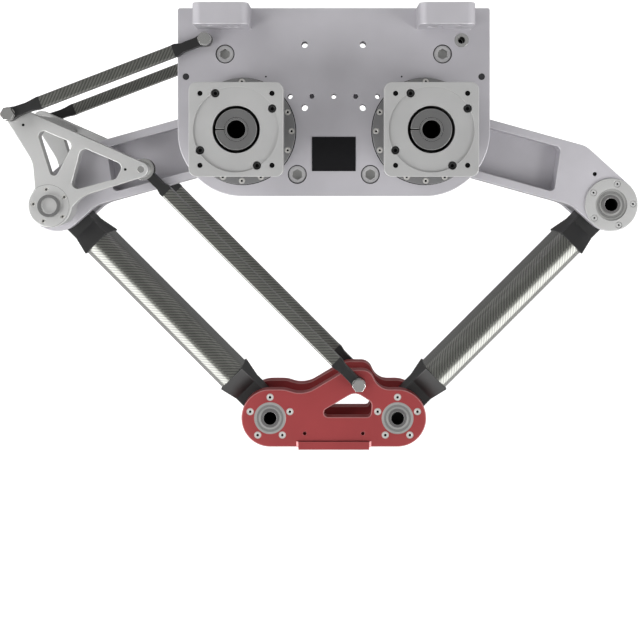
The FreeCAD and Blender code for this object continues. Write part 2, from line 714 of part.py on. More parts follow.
def make_lower_arm(name, place_x, turn):
    """Lower arm: carbon tube and the tongue fittings of its elbow and platform ends."""
    place_args = (place_x, "D.mid_depth", ELBOW_Z, turn)
    end = "(D.lower_length - D.tube_start)"
    section_tube(f"{name}_lower_tube", place_args, "D.tube_start", end,
                 "D.tube_width", "D.tube_depth", "D.tube_round", "D.tube_wall")
    make_tongue(f"{name}_elbow_tongue", place_args, False)
    make_tongue(f"{name}_platform_tongue", place_args, True)


def make_tongue(label, place_args, far_end):
    """Tongue fitting: round eye, waist that widens to the tube, and a plug inside the tube."""
    body = start_body(label, *place_args)

    def along(distance):
        return f"(D.lower_length - {distance})" if far_end else distance

    outline = [
        (along("(-D.tongue_radius)"), "-D.tongue_radius", "D.tongue_radius - 0.01"),
        (along("D.tongue_end"), "-D.tongue_radius", "D.rod_eye"),
        (along("D.tube_start"), "-D.tube_width / 2", "0"),
        (along("D.tube_start"), "D.tube_width / 2", "0"),
        (along("D.tongue_end"), "D.tongue_radius", "D.rod_eye"),
        (along("(-D.tongue_radius)"), "D.tongue_radius", "D.tongue_radius - 0.01"),
    ]
    slab(body, "-D.tube_depth / 2", "D.tube_depth / 2", [outline])
    tongue = "(D.fork_half - D.side_gap)"
    for side in ("-", ""):
        past = f"{side}(D.tube_depth / 2 + D.side_gap)"
        shoulder = [
            (along("(-D.tongue_radius - D.side_gap)"), past, "0"),
            (along("(-D.tongue_radius - D.side_gap)"), f"{side}{tongue}", "0"),
            (along("D.tongue_end"), f"{side}{tongue}", "0"),
            (along("D.tube_start"), f"{side}D.tube_depth / 2", "0"),
            (along("D.tube_start"), past, "0"),
        ]
        half = "(D.tube_width / 2)"
        cut(body, "XY_Plane", half, f"2 * {half}", [shoulder])
    inner_width = "(D.tube_width / 2 - D.tube_wall - D.running_gap)"
    inner_depth = "(D.tube_depth / 2 - D.tube_wall - D.running_gap)"
    first = along("D.tube_start")
    last = along("(D.tube_start + D.plug_length)")
    low, high = (last, first) if far_end else (first, last)
    plug = []
    for side, height in (("-", "-"), ("", "-"), ("", ""), ("-", "")):
        plug.append((f"{side}{inner_depth}", f"{height}{inner_width}", "(D.tube_round - D.tube_wall)"))
    sketch = start_sketch(body, "YZ_Plane", low, [plug], [])
    pad = body.newObject("PartDesign::Pad", "Pad")
    pad.Profile = sketch
    pad.setExpression("Length", f"({high}) - ({low})")
    DOC.recompute()
    bore(body, f"-{tongue}", tongue, [(along("0"), "0", SEATED_PIVOT)])


def make_rod(name, place_x, place_z, turn, side, inner, length):
    """Rod: square carbon tube and an eye fitting at each end."""
    near, far = span(side, inner, f"({inner} + D.rod_depth)")
    middle = f"(D.mid_depth + (({near}) + ({far})) / 2)"
    place_args = (place_x, middle, place_z, turn)
    section_tube(f"{name}_tube", place_args, "D.rod_start", f"({length} - D.rod_start)",
                 "D.rod_width", "D.rod_depth", "3", "D.rod_wall")
    ends = start_body(f"{name}_ends", *place_args)
    plug_half = "(D.rod_width / 2 - D.rod_wall - D.side_gap)"
    for far_end in (False, True):

        def along(distance):
            return f"({length} - ({distance}))" if far_end else distance

        outline = [
            (along("-D.rod_eye"), "-D.rod_eye", "D.rod_eye - 0.01"),
            (along("D.rod_neck"), "-D.rod_eye", "2"),
            (along("D.rod_start"), "-D.rod_width / 2", "0"),
            (along("D.rod_start"), "D.rod_width / 2", "0"),
            (along("D.rod_neck"), "D.rod_eye", "2"),
            (along("-D.rod_eye"), "D.rod_eye", "D.rod_eye - 0.01"),
        ]
        slab(ends, "-D.rod_depth / 2", "D.rod_depth / 2", [outline], [(along("0"), "0", "D.bush_bore")])
        plug_depth = "(D.rod_depth / 2 - D.rod_wall - D.side_gap)"
        first = along("D.rod_start")
        last = along("D.rod_start + D.rod_plug")
        low, high = (last, first) if far_end else (first, last)
        slab(ends, f"-{plug_depth}", plug_depth, [rectangle(low, high, plug_half, "0")])


# Rocker

def make_rocker_frame(label, side):
    """Milled triangular frame with two windows, a hub, and a boss for the short rod."""
    body = start_body(label, f"(-{ELBOW_X})", "D.mid_depth", ELBOW_Z)
    near, far = span(side, "D.rocker_inner", "D.rocker_outer")
    short = ("-D.short_pivot_out", "D.short_pivot_up")
    long = ("D.long_pivot_in", "D.long_pivot_up")
    outline = [
        ("-D.rocker_hub * 0.63", "0", "0"),
        ("D.rocker_hub * 0.6", "-D.rocker_hub * 0.5", "0"),
        ("D.rocker_hub * 1.5", "D.rocker_hub * 0.45", "D.throat_round"),
        ("D.long_pivot_in + 3", "D.long_pivot_up - D.rocker_tip_long * 1.05", "0"),
        ("D.long_pivot_in + 4", "D.long_pivot_up + D.rocker_tip_long * 0.9", "0"),
        ("-D.short_pivot_out + 4", "D.short_pivot_up + D.rocker_tip_short * 0.95", "0"),
        ("-D.short_pivot_out - 10", "D.short_pivot_up - 7", "0"),
        ("-D.rocker_hub * 0.8", "D.rocker_hub * 2", "D.throat_round"),
    ]
    slab(body, near, far, [outline])
    slab(body, near, far, circles=[(*short, "D.rocker_tip_short")])
    slab(body, near, far, circles=[(*long, "D.rocker_tip_long")])
    hub_near, hub_far = span(side, "(D.arm_half + D.side_gap)", "D.rocker_outer")
    slab(body, hub_near, hub_far, circles=[("0", "0", "D.rocker_hub")])
    boss_near, boss_far = span(side, "D.rocker_outer", "(D.short_rod_inner - D.side_gap)")
    slab(body, boss_near, boss_far, circles=[(*short, "D.rocker_boss")])
    left_window = [
        ("-20", "108", "7"),
        ("4", "32", "6"),
        ("32", "86", "8"),
    ]
    right_window = [
        ("27", "20", "8"),
        ("91", "37", "8"),
        ("101", "56", "8"),
        ("43", "81", "8"),
    ]
    bore(body, near, far, outlines=[left_window, right_window])
    bore(body, hub_near, hub_far, [("0", "0", SEATED_PIVOT)])
    sink_near, sink_far = span(side, "(D.rocker_outer - D.rocker_sink_depth)", "D.rocker_outer")
    bore(body, sink_near, sink_far, [("0", "0", "D.rocker_hub_sink")])
    screws = circle_of(int(amount("D.screw_count")), "D.rocker_screw_circle", "31")
    low, high = span(side, "(D.rocker_outer - D.rocker_screw_depth)", "D.rocker_outer")
    bore(body, low, high, at_places(screws, "D.rocker_screw_head"))
    boss_face_near, boss_face_far = span(side, "D.rocker_inner", "D.short_rod_inner")
    bore(body, boss_face_near, boss_face_far, [(*short, "D.bush_bore")])
    bore(body, near, far, [(*long, "D.bush_bore")])


def make_rocker():
    """Rocker: two frames, the bar that joins them, screws, bolts and rod pins."""
    make_rocker_frame("rocker_front_frame", -1)
    make_rocker_frame("rocker_rear_frame", 1)
    bar = start_body("rocker_crossbar", f"(-{ELBOW_X})", "D.mid_depth", ELBOW_Z)
    top_z = "(D.short_pivot_up + D.rocker_tip_short * 0.3)"
    outline = [
        ("-D.short_pivot_out + 12", f"({top_z} - D.rocker_bar_thickness)", "2"),
        ("0", f"({top_z} - D.rocker_bar_thickness - 16)", "2"),
        ("4", f"({top_z} - 20)", "2"),
        ("-D.short_pivot_out + 14", top_z, "4"),
    ]
    slab(bar, "-D.rocker_inner", "D.rocker_inner", [outline])
    screws = start_body("rocker_hub_screws", f"(-{ELBOW_X})", "D.mid_depth", ELBOW_Z)
    places = circle_of(int(amount("D.screw_count")), "D.rocker_screw_circle", "31")
    for side in (-1, 1):
        near, far = span(side, "(D.rocker_outer - D.rocker_screw_depth)", "D.rocker_outer")
        slab(screws, near, far, circles=at_places(places, "(D.rocker_screw_head - D.running_gap)"))
    bolts = start_body("rocker_rod_bolts", f"(-{ELBOW_X} - D.short_pivot_out)", "D.mid_depth",
                       f"({ELBOW_Z} + D.short_pivot_up)")
    for side in (-1, 1):
        head_face = f"({SHORT_ROD_OUTER} + D.side_gap)"
        near, far = span(side, head_face, f"({head_face} + D.bolt_head_height)")
        slab(bolts, near, far, [hexagon("0", "0", "D.bolt_head_across")])
        near, far = span(side, "(D.rocker_inner + D.side_gap)", head_face)
        slab(bolts, near, far, circles=[("0", "0", "D.pin_radius")])
    pins = start_body("long_rod_pins", ROD_TOP_X, "D.mid_depth", ROD_TOP_Z)
    for side in (-1, 1):
        near, far = span(side, "(D.rod_inner - D.side_gap)", "(D.rocker_outer - D.side_gap)")
        slab(pins, near, far, circles=[("0", "0", "D.pin_radius")])
        near, far = span(side, "(D.arm_half + D.side_gap)", "(D.rod_inner - D.side_gap)")
        slab(pins, near, far, circles=[("0", "0", "D.thrust_radius")])
        near, far = span(side, f"({ROD_OUTER} + D.side_gap)", "(D.rocker_inner - D.side_gap)")
        slab(pins, near, far, circles=[("0", "0", "D.thrust_radius")])


# Platform

def make_platform_plate(label, side):
    """Platform plate with two bearing lobes, the rod pivot's boss and a window."""
    body = start_body(label, "0", "D.mid_depth", PLATFORM_Z)
    near, far = span(side, "D.fork_half", "D.arm_half")
    edge = "(D.platform_half + D.lobe_radius)"
    boss_x = ROD_LOW_X
    outline = [
        (f"-{edge}", "D.lobe_radius", "D.lobe_radius - 0.01"),
        (f"-{edge}", "-D.lobe_radius", "D.lobe_radius - 0.01"),
        (edge, "-D.lobe_radius", "D.lobe_radius - 0.01"),
        (edge, "D.lobe_radius", "D.lobe_radius - 0.01"),
        (f"({boss_x} + 29)", "D.lobe_radius", "24"),
        (f"({boss_x} + 16)", "(D.long_pivot_up + 18)", "17"),
        (f"({boss_x} - 17)", "(D.long_pivot_up + 18)", "17"),
        (f"({boss_x} - 78)", "32", "40"),
        (f"({boss_x} - 104)", "D.lobe_radius", "40"),
    ]
    slab(body, near, far, [outline])
    window = [
        ("-30", "1.6", "6"),
        ("52", "1.6", "6"),
        ("54", "22", "9"),
        ("30", "37", "16"),
    ]
    bore(body, near, far, outlines=[window])
    seats = [(f"{s}D.platform_half", "0", "(D.bearing_radius + D.running_gap)") for s in ("-", "")]
    pins = [(f"{s}D.platform_hole_x", "-D.platform_hole_z", "D.platform_hole_bore") for s in ("-", "")]
    bore(body, near, far, seats + pins + [(boss_x, "D.long_pivot_up", "D.bush_bore")])
    low, high = span(side, "(D.arm_half - D.platform_screw_depth)", "D.arm_half")
    bore(body, low, high, at_places(platform_screw_places(), "(D.platform_screw_head + D.running_gap)"))


def platform_screw_places():
    """Give the places of the bearing screws about both lower pivots."""
    count = int(amount("D.screw_count"))
    places = []
    for side in ("-", ""):
        places += circle_of(count, "D.platform_screw_circle", "90", f"{side}D.platform_half")
    return places


def make_platform():
    """Platform: two plates, tool block, bearings, screws, shafts and the rod pivot."""
    make_platform_plate("platform_front_plate", -1)
    make_platform_plate("platform_rear_plate", 1)
    block = start_body("tool_block", "0", "D.mid_depth", PLATFORM_Z)
    top = "(D.tool_height - D.tool_drop)"
    core = [
        ("-D.tool_half", "-D.tool_drop", "0"),
        ("D.tool_half", "-D.tool_drop", "0"),
        ("D.tool_half", top, "0"),
        ("-D.tool_half", top, "0"),
    ]
    slab(block, "-D.fork_half", "D.fork_half", [core])
    foot = [
        ("-D.tool_half", "-D.tool_drop", "0"),
        ("D.tool_half", "-D.tool_drop", "0"),
        ("D.tool_half", "-D.lobe_radius", "0"),
        ("-D.tool_half", "-D.lobe_radius", "0"),
    ]
    slab(block, "-D.arm_half", "D.arm_half", [foot])
    tool_bolts = []
    for side, depth in (("-", "-"), ("", "-"), ("", ""), ("-", "")):
        tool_bolts.append((f"{side}D.tool_bolt_x", f"{depth}D.tool_bolt_y", "D.tool_bolt_bore"))
    bottom = "(D.tool_bolt_deep - D.tool_drop)"
    cut(block, "XY_Plane", bottom, "D.tool_bolt_deep", circles=tool_bolts)
    bearings = start_body("platform_bearings", "0", "D.mid_depth", PLATFORM_Z)
    rings = []
    for side in ("-", ""):
        rings.append((f"{side}D.platform_half", "0", "D.bearing_radius"))
        rings.append((f"{side}D.platform_half", "0", SEATED_PIVOT))
    for near, far in BOTH_EARS:
        slab(bearings, near, far, circles=rings)
    screws = start_body("platform_bearing_screws", "0", "D.mid_depth", PLATFORM_Z)
    for side in (-1, 1):
        low, high = span(side, "(D.arm_half - D.platform_screw_depth)", "D.arm_half")
        slab(screws, low, high, circles=at_places(platform_screw_places(), "D.platform_screw_head"))
    ring("left_platform_shaft", "-D.platform_half", PLATFORM_Z,
         [("-D.arm_half - D.pivot_proud", "D.arm_half + D.pivot_proud")], "D.pivot_radius", "D.pivot_bore")
    stubs = [span(side, "D.fork_half", "(D.arm_half + D.pivot_proud)") for side in (-1, 1)]
    ring("right_platform_stubs", "D.platform_half", PLATFORM_Z, stubs, "D.pivot_radius", "D.pivot_bore")
    inner = "(D.fork_half - D.side_gap)"
    ring("right_platform_core", "D.platform_half", PLATFORM_Z, [(f"-{inner}", inner)],
         "D.pivot_radius", "D.pivot_bore")
    spacer = start_body("rod_pivot_spacers", ROD_LOW_X, "D.mid_depth", ROD_LOW_Z)
    slab(spacer, "-D.fork_half", "D.fork_half",
         circles=[("0", "0", "D.spacer_radius"), ("0", "0", "D.bush_bore")])
    for side in (-1, 1):
        near, far = span(side, "D.arm_half", "(D.rod_inner - D.side_gap)")
        slab(spacer, near, far, circles=[("0", "0", "D.washer_radius"), ("0", "0", "D.bush_bore")])
    bolt = start_body("rod_pivot_bolt", ROD_LOW_X, "D.mid_depth", ROD_LOW_Z)
    head_face = f"({ROD_OUTER} + D.side_gap)"
    slab(bolt, f"-{head_face}", head_face, circles=[("0", "0", "D.pin_radius")])
    for side in (-1, 1):
        near, far = span(side, head_face, f"({head_face} + D.bolt_head_height)")
        slab(bolt, near, far, [hexagon("0", "0", "D.bolt_head_across")])


def make_arms_and_rods():
    """Upper arms, elbows, lower arms and the four rods."""
    make_upper_arm("left", "-")
    make_upper_arm("right", "")
    make_elbows()
    make_lower_arm("left", f"(-{ELBOW_X})", f"-{LOWER_ANGLE}")
    make_lower_arm("right", ELBOW_X, f"180 deg + {LOWER_ANGLE}")
    for name, side in (("front", -1), ("rear", 1)):
        make_rod(f"short_rod_{name}", ANCHOR_X, ANCHOR_Z, "180 + D.upper_drop", side,
                 "D.short_rod_inner", "D.upper_length")
        make_rod(f"long_rod_{name}", ROD_TOP_X, ROD_TOP_Z, f"-{LOWER_ANGLE}", side,
                 "D.rod_inner", "D.lower_length")


def check_and_export():
    """Stop on any failed object or bad shape, then write every piece to its own file."""
    DOC.recompute()
    for item in DOC.Objects:
        if "Invalid" in item.State or "Error" in item.State:
            raise RuntimeError(f"{item.Name} in {item.Label} failed: {item.State}")
    for body in NODES:
        if body.Shape.isNull() or not body.Shape.isValid():
            raise RuntimeError(f"{body.Label} has no valid shape")
    os.makedirs("parts", exist_ok=True)
    for body in NODES:
        body.Shape.exportStep(f"parts/{body.Label}.step")
        print(body.Label, len(body.Shape.Solids), round(body.Shape.Volume))


make_base_plate()
make_frame_fittings()
make_rod_anchors()
make_drive("left", "-D.shoulder_half")
make_drive("right", "D.shoulder_half")
make_arms_and_rods()
make_rocker()
make_platform()
check_and_export()
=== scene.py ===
"""Looks of a two-axis parallel robot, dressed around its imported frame. All lengths are metres."""

import json
import logging
import math
from collections.abc import Callable, Iterable
from dataclasses import dataclass
from enum import Enum, StrEnum
from typing import NamedTuple

import bmesh
import bpy
from bmesh.types import BMEdge, BMesh, BMVert
from bpy.types import Material, Node, NodeSocket, NodeTree, Object
from mathutils import Matrix, Vector

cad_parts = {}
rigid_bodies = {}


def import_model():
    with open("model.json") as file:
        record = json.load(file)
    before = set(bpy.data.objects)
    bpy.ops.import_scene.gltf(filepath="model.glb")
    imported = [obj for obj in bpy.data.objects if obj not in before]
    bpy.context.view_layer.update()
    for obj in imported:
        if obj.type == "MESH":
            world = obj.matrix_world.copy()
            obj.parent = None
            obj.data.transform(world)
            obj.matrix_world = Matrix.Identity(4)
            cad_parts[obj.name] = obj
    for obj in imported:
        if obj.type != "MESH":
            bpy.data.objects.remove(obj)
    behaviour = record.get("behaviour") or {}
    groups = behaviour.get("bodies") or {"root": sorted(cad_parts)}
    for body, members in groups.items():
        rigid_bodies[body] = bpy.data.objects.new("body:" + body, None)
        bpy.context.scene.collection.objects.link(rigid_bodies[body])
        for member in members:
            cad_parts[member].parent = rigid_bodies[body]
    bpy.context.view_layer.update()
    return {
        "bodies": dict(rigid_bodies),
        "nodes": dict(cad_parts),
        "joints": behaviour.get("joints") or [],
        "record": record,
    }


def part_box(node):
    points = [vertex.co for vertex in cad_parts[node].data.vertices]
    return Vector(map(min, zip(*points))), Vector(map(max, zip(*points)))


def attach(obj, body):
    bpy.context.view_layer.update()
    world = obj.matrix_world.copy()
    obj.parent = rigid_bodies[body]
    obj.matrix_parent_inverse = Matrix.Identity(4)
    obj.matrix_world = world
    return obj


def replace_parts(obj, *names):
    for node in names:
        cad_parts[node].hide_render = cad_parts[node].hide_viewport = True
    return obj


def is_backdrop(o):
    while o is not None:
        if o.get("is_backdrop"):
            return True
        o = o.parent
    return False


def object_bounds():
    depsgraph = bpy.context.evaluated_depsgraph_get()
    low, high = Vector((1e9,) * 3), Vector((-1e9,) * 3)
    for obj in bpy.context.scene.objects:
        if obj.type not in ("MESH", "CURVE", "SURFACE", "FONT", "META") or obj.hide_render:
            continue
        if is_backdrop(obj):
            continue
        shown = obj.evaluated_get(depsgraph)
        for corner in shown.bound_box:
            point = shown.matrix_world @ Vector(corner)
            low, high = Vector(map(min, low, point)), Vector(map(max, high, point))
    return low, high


LOG = logging.getLogger("robot")
WHITE = (1.0, 1.0, 1.0, 1.0)
MM = 0.001
# Corners this close are one corner, and places this close are the same place.
WELD = 0.001 * MM
NEAR = 0.01 * MM
# Sizes that more than one sub-assembly shares.
LABEL_THICKNESS = 1 * MM
BEARING_BORE = 13.35 * MM
PIVOT_BORE = 9.2 * MM
PIVOT_FLOOR = 35 * MM
FLUSH = 0.05 * MM

Box = tuple[Vector, Vector]


class Side(StrEnum):
    """The side of the robot as the camera sees it; it starts the names of nodes and bodies."""

    LEFT = "left"
    RIGHT = "right"


class Face(Enum):
    """The way a screw's head looks."""

    FRONT = -1
    BACK = 1

    @property
    def turn(self) -> Matrix:
        """Give the turn from a head that looks up to one that looks this way."""
        return Matrix.Rotation(-self.value * math.pi / 2, 4, "X")


class Graph:
    """Helper that adds and links the nodes of one tree."""

    def __init__(self, tree: NodeTree) -> None:
        """Work on a node tree."""
        self.tree = tree

    def add(self, kind: str, inputs: dict[str, object] | None = None, **settings: object) -> Node:
        """Add a node.

        Args:
            kind: The node's type name.
            inputs: A socket or a fixed value for each input to fill.
            **settings: Properties to set on it.

        Returns:
            The new node.
        """
        node = self.tree.nodes.new(kind)
        for key, value in settings.items():
            setattr(node, key, value)
        for key, value in (inputs or {}).items():
            self.put(value, node.inputs[key])
        return node

    def put(self, value: object, target: NodeSocket) -> None:
        """Link a socket to an input, or set a fixed value on it.

        Args:
            value: The socket or the value.
            target: The input.
        """
        if isinstance(value, NodeSocket):
            self.tree.links.new(value, target)
        else:
            target.default_value = value

    def math(self, operation: str, first: NodeSocket,
             second: NodeSocket | float = 0.0) -> NodeSocket:
        """Add a maths node.

        Args:
            operation: Its operation.
            first: Its first value.
            second: Its second value, where the operation takes two.

        Returns:
            The result.
        """
        node = self.add("ShaderNodeMath", operation=operation)
        self.put(first, node.inputs[0])
        self.put(second, node.inputs[1])
        return node.outputs[0]

    def split(self, place: NodeSocket) -> bpy.types.NodeOutputs:
        """Split a vector into its X, Y and Z."""
        return self.add("ShaderNodeSeparateXYZ", {"Vector": place}).outputs

    def noise(self, place: NodeSocket, scale: float, detail: float) -> NodeSocket:
        """Give a noise that reads the coordinates at a scale per metre."""
        inputs = {"Vector": place, "Scale": scale, "Detail": detail}
        return self.add("ShaderNodeTexNoise", inputs).outputs["Fac"]

    def span(self, value: NodeSocket, low: float, high: float, start: float = 0.0,
             end: float = 1.0, interpolation_type: str = "LINEAR") -> NodeSocket:
        """Map a value from one range to another.

        Args:
            value: The value.
            low: Result at the start.
            high: Result at the end.
            start: Where the value's range starts.
            end: Where it ends.
            interpolation_type: How the result runs between them.

        Returns:
            The mapped value.
        """
        inputs = {"Value": value, "From Min": start, "From Max": end,
                  "To Min": low, "To Max": high}
        node = self.add("ShaderNodeMapRange", inputs, interpolation_type=interpolation_type)
        return node.outputs["Result"]


class Surface(Graph):
    """The node graph of one new material."""

    STOPS = (0.3, 0.7)

    def __init__(self, name: str) -> None:
        """Start a material with its shader and output.

        Args:
            name: The material's name.
        """
        self.material = bpy.data.materials.new(name)
        self.material.use_nodes = True
        super().__init__(self.material.node_tree)
        self.tree.nodes.clear()
        self.shader = self.add("ShaderNodeBsdfPrincipled")
        self.add("ShaderNodeOutputMaterial", {"Surface": self.shader.outputs["BSDF"]})

    def coordinates(self, kind: str) -> NodeSocket:
        """Give the piece's own coordinates, Object or UV."""
        return self.add("ShaderNodeTexCoord").outputs[kind]

    def feed(self, **inputs: object) -> None:
        """Feed the shader's inputs, named with _ for a space, with sockets or fixed values."""
        for key, value in inputs.items():
            self.put(value, self.shader.inputs[key.replace("_", " ")])

    def tone(self, value: NodeSocket, color: tuple, spread: float) -> NodeSocket:
        """Spread a colour from darker to lighter.

        Args:
            value: The value that it follows.
            color: The middle colour.
            spread: Share by which it gets darker and lighter.

        Returns:
            The colour.
        """
        node = self.add("ShaderNodeValToRGB", {"Fac": value})
        factors = (1 - spread, 1 + spread)
        for stop, position, factor in zip(node.color_ramp.elements, self.STOPS, factors):
            stop.position = position
            stop.color = (*(min(1.0, part * factor) for part in color), 1.0)
        return node.outputs["Color"]

    def bump(self, height: NodeSocket, strength: float, distance: float) -> None:
        """Bump the surface by a height, whose 1 stands for the distance."""
        inputs = {"Strength": strength, "Distance": distance, "Height": height}
        self.feed(Normal=self.add("ShaderNodeBump", inputs).outputs["Normal"])


@dataclass(frozen=True)
class MetalFinish:
    """A machined, blasted or anodised metal."""

    name: str
    color: tuple
    roughness: float
    metallic: float
    turned: bool = False
    cloud_scale: float = 14.0
    smudge_scale: float = 45.0
    grain_scale: float = 900.0
    tone_spread: float = 0.05
    gloss_spread: float = 0.06
    relief: float = 0.35
    depth: float = 0.02 * MM

    def build(self) -> Material:
        """Build the metal: cloudy tone, smudged gloss, and a fine grain or turning marks.

        Returns:
            The material.
        """
        graph = Surface(self.name)
        place = graph.coordinates("Object")
        clouds = graph.noise(place, self.cloud_scale, detail=3.0)
        smudge = graph.noise(place, self.smudge_scale, detail=5.0)
        graph.feed(
            Base_Color=graph.tone(clouds, self.color, self.tone_spread),
            Roughness=graph.span(smudge, self.roughness - self.gloss_spread,
                                 self.roughness + self.gloss_spread),
            Metallic=self.metallic)
        if self.turned:
            inputs = {"Scale": self.grain_scale, "W": graph.split(place)["Y"]}
            marks = graph.add("ShaderNodeTexNoise", inputs, noise_dimensions="1D").outputs["Fac"]
        else:
            marks = graph.noise(place, self.grain_scale, detail=5.0)
        graph.bump(marks, self.relief, self.depth)
        return graph.material


@dataclass(frozen=True)
class CarbonFinish:
    """Twill carbon cloth under clear resin, laid by the tube's own UV map in metres; the twill
    pattern is real, and its lighter over tows and darker under tows are a painted sheen.
    """

    name: str
    light: tuple
    dark: tuple
    tow: float = 1.35 * MM
    repeat: float = 4.0
    last_over: float = 1.5
    half_tow: float = 0.5
    cloud_scale: float = 60.0
    tone_spread: float = 0.2
    rough_over: float = 0.28
    rough_under: float = 0.36
    relief: float = 0.5
    depth: float = 0.12 * MM

    def build(self) -> Material:
        """Build the twill: two over, two under, with each tow rounded.

        Returns:
            The material.
        """
        graph = Surface(self.name)
        cloth = graph.coordinates("UV")
        apart = graph.split(cloth)
        across = graph.math("DIVIDE", apart["X"], self.tow)
        around = graph.math("DIVIDE", apart["Y"], self.tow)
        step = graph.math("ADD", graph.math("FLOOR", across), graph.math("FLOOR", around))
        place = graph.math("FLOORED_MODULO", step, self.repeat)
        over = graph.math("LESS_THAN", place, self.last_over)
        crown = graph.add("ShaderNodeMix", {
            "Factor": over, "A": graph.math("PINGPONG", across, self.half_tow),
            "B": graph.math("PINGPONG", around, self.half_tow)}, data_type="FLOAT")
        base = graph.add("ShaderNodeMix", {
            "Factor": over, "A": (*self.dark, 1.0), "B": (*self.light, 1.0)}, data_type="RGBA")
        clouds = graph.noise(cloth, self.cloud_scale, detail=3.0)
        tone = graph.add("ShaderNodeHueSaturation", {
            "Value": graph.span(clouds, 1 - self.tone_spread, 1 + self.tone_spread),
            "Color": base.outputs["Result"]})
        graph.feed(Base_Color=tone.outputs["Color"],
                   Roughness=graph.span(over, self.rough_under, self.rough_over),
                   Metallic=0.8, Coat_Weight=1.0, Coat_Roughness=0.15, Coat_IOR=1.6)
        graph.bump(crown.outputs["Result"], self.relief, self.depth)
        return graph.material


@dataclass(frozen=True)
class PlainFinish:
    """A plain dark moulded or printed surface with a fine grain."""

    name: str
    color: tuple
    roughness: float
    cloud_scale: float = 70.0
    grain_scale: float = 1500.0
    tone_spread: float = 0.15
    gloss_spread: float = 0.05
    relief: float = 0.3
    depth: float = 0.02 * MM

    def build(self) -> Material:
        """Build the surface.

        Returns:
            The material.
        """
        graph = Surface(self.name)
        place = graph.coordinates("Object")
        clouds = graph.noise(place, self.cloud_scale, detail=4.0)
        graph.feed(
            Base_Color=graph.tone(clouds, self.color, self.tone_spread),
            Roughness=graph.span(clouds, self.roughness - self.gloss_spread,
                                 self.roughness + self.gloss_spread),
            Specular_IOR_Level=0.2)
        graph.bump(graph.noise(place, self.grain_scale, detail=4.0), self.relief, self.depth)
        return graph.material


class Coat(NamedTuple):
    """The finish of a milled piece: the record's slot, its faces and its chamfered edges; a lighter
    edge finish is a painted highlight.
    """

    slot: str
    main: Material
    edge: Material


class Finishes:
    """Every finish on the robot, built once."""

    def __init__(self) -> None:
        """Build the materials."""
        self.steel = MetalFinish("bright_steel", (0.78, 0.78, 0.76), 0.14, 1.0, True).build()
        self.screw = MetalFinish("pale_screw_steel", (0.56, 0.55, 0.53), 0.4, 0.5).build()
        self.flush_screw = MetalFinish("grey_screw_steel", (0.46, 0.455, 0.46), 0.4, 0.5).build()
        self.bearing = MetalFinish(
            "ground_bearing_steel", (0.46, 0.46, 0.45), 0.32, 0.7, True).build()
        self.shield = MetalFinish("bearing_shield", (0.26, 0.26, 0.255), 0.36, 0.6, True).build()
        # Pale pink for large chamfers on red pieces: a painted highlight.
        self.pink = MetalFinish("pale_red_chamfer", (0.80, 0.36, 0.36), 0.38, 0.2).build()
        self.carbon = CarbonFinish(
            "twill_carbon", (0.20, 0.202, 0.18), (0.10, 0.102, 0.092)).build()
        # Black painted shade for bores, small holes, screw sockets, narrow gaps and shadow lines.
        self.hole = PlainFinish("painted_shade_black", (0.002, 0.002, 0.002), 0.9).build()
        trim = PlainFinish("dark_plug", (0.03, 0.03, 0.032), 0.6).build()
        # In most coats below, the edge finish is lighter than the face finish: a painted highlight
        # on the chamfers.
        self.plug = Coat("dark_trim", trim, trim)
        self.label = Coat(
            "dark_trim", PlainFinish("blank_black_label", (0.003, 0.003, 0.004), 0.6).build(), trim)
        self.plate = Coat(
            "anodised_plate",
            MetalFinish("anodised_violet_grey", (0.50, 0.488, 0.518), 0.46, 0.45).build(),
            MetalFinish("violet_grey_edge", (0.56, 0.55, 0.575), 0.4, 0.45).build())
        self.adapter = Coat(
            "light_aluminium",
            MetalFinish("grey_milled_aluminium", (0.44, 0.44, 0.437), 0.42, 0.45).build(),
            MetalFinish("grey_milled_edge", (0.50, 0.50, 0.495), 0.38, 0.45).build())
        self.light = Coat(
            "light_aluminium",
            MetalFinish("light_milled_aluminium", (0.465, 0.465, 0.46), 0.42, 0.45).build(),
            MetalFinish("light_milled_edge", (0.58, 0.58, 0.57), 0.38, 0.45).build())
        self.housing = Coat(
            "dark_housing",
            MetalFinish("dark_grey_housing", (0.21, 0.21, 0.212), 0.42, 0.5).build(),
            MetalFinish("dark_grey_edge", (0.34, 0.34, 0.34), 0.4, 0.5).build())
        self.black = Coat(
            "black_fitting",
            MetalFinish("black_anodised_fitting", (0.016, 0.016, 0.016), 0.42, 0.2).build(),
            MetalFinish("black_fitting_edge", (0.04, 0.04, 0.04), 0.36, 0.3).build())
        self.red = Coat(
            "red_anodised", MetalFinish("red_anodised", (0.30, 0.042, 0.044), 0.4, 0.35).build(),
            MetalFinish("red_anodised_edge", (0.40, 0.16, 0.16), 0.38, 0.35).build())
        self.hub = Coat(
            "steel", MetalFinish("dark_hub_steel", (0.17, 0.17, 0.17), 0.36, 0.6, True).build(),
            self.bearing)
        self.shaft = Coat(
            "bearing_steel",
            MetalFinish("dark_shaft_steel", (0.16, 0.155, 0.155), 0.36, 0.6, True).build(),
            self.bearing)
        self.bush = Coat("bearing_steel", self.bearing, self.steel)
        self.pin = Coat("steel", self.steel, self.steel)


def mesh_object(work: BMesh, name: str, *materials: Material, crease: float = 32.0) -> Object:
    """Turn a bmesh into a finished object at the origin.

    Args:
        work: The mesh, which is freed.
        name: The object's name.
        *materials: Its materials, in slot order.
        crease: Edges that turn more than this many degrees stay sharp.

    Returns:
        The object.
    """
    limit = math.radians(crease)
    for face in work.faces:
        face.smooth = True
    for edge in work.edges:
        edge.smooth = not (edge.is_manifold and edge.calc_face_angle(0.0) > limit)
    mesh = bpy.data.meshes.new(name)
    work.to_mesh(mesh)
    work.free()
    for material in materials:
        mesh.materials.append(material)
    item = bpy.data.objects.new(name, mesh)
    bpy.context.scene.collection.objects.link(item)
    item.modifiers.new("flat_faces_shade_flat", "WEIGHTED_NORMAL").keep_sharp = True
    return item


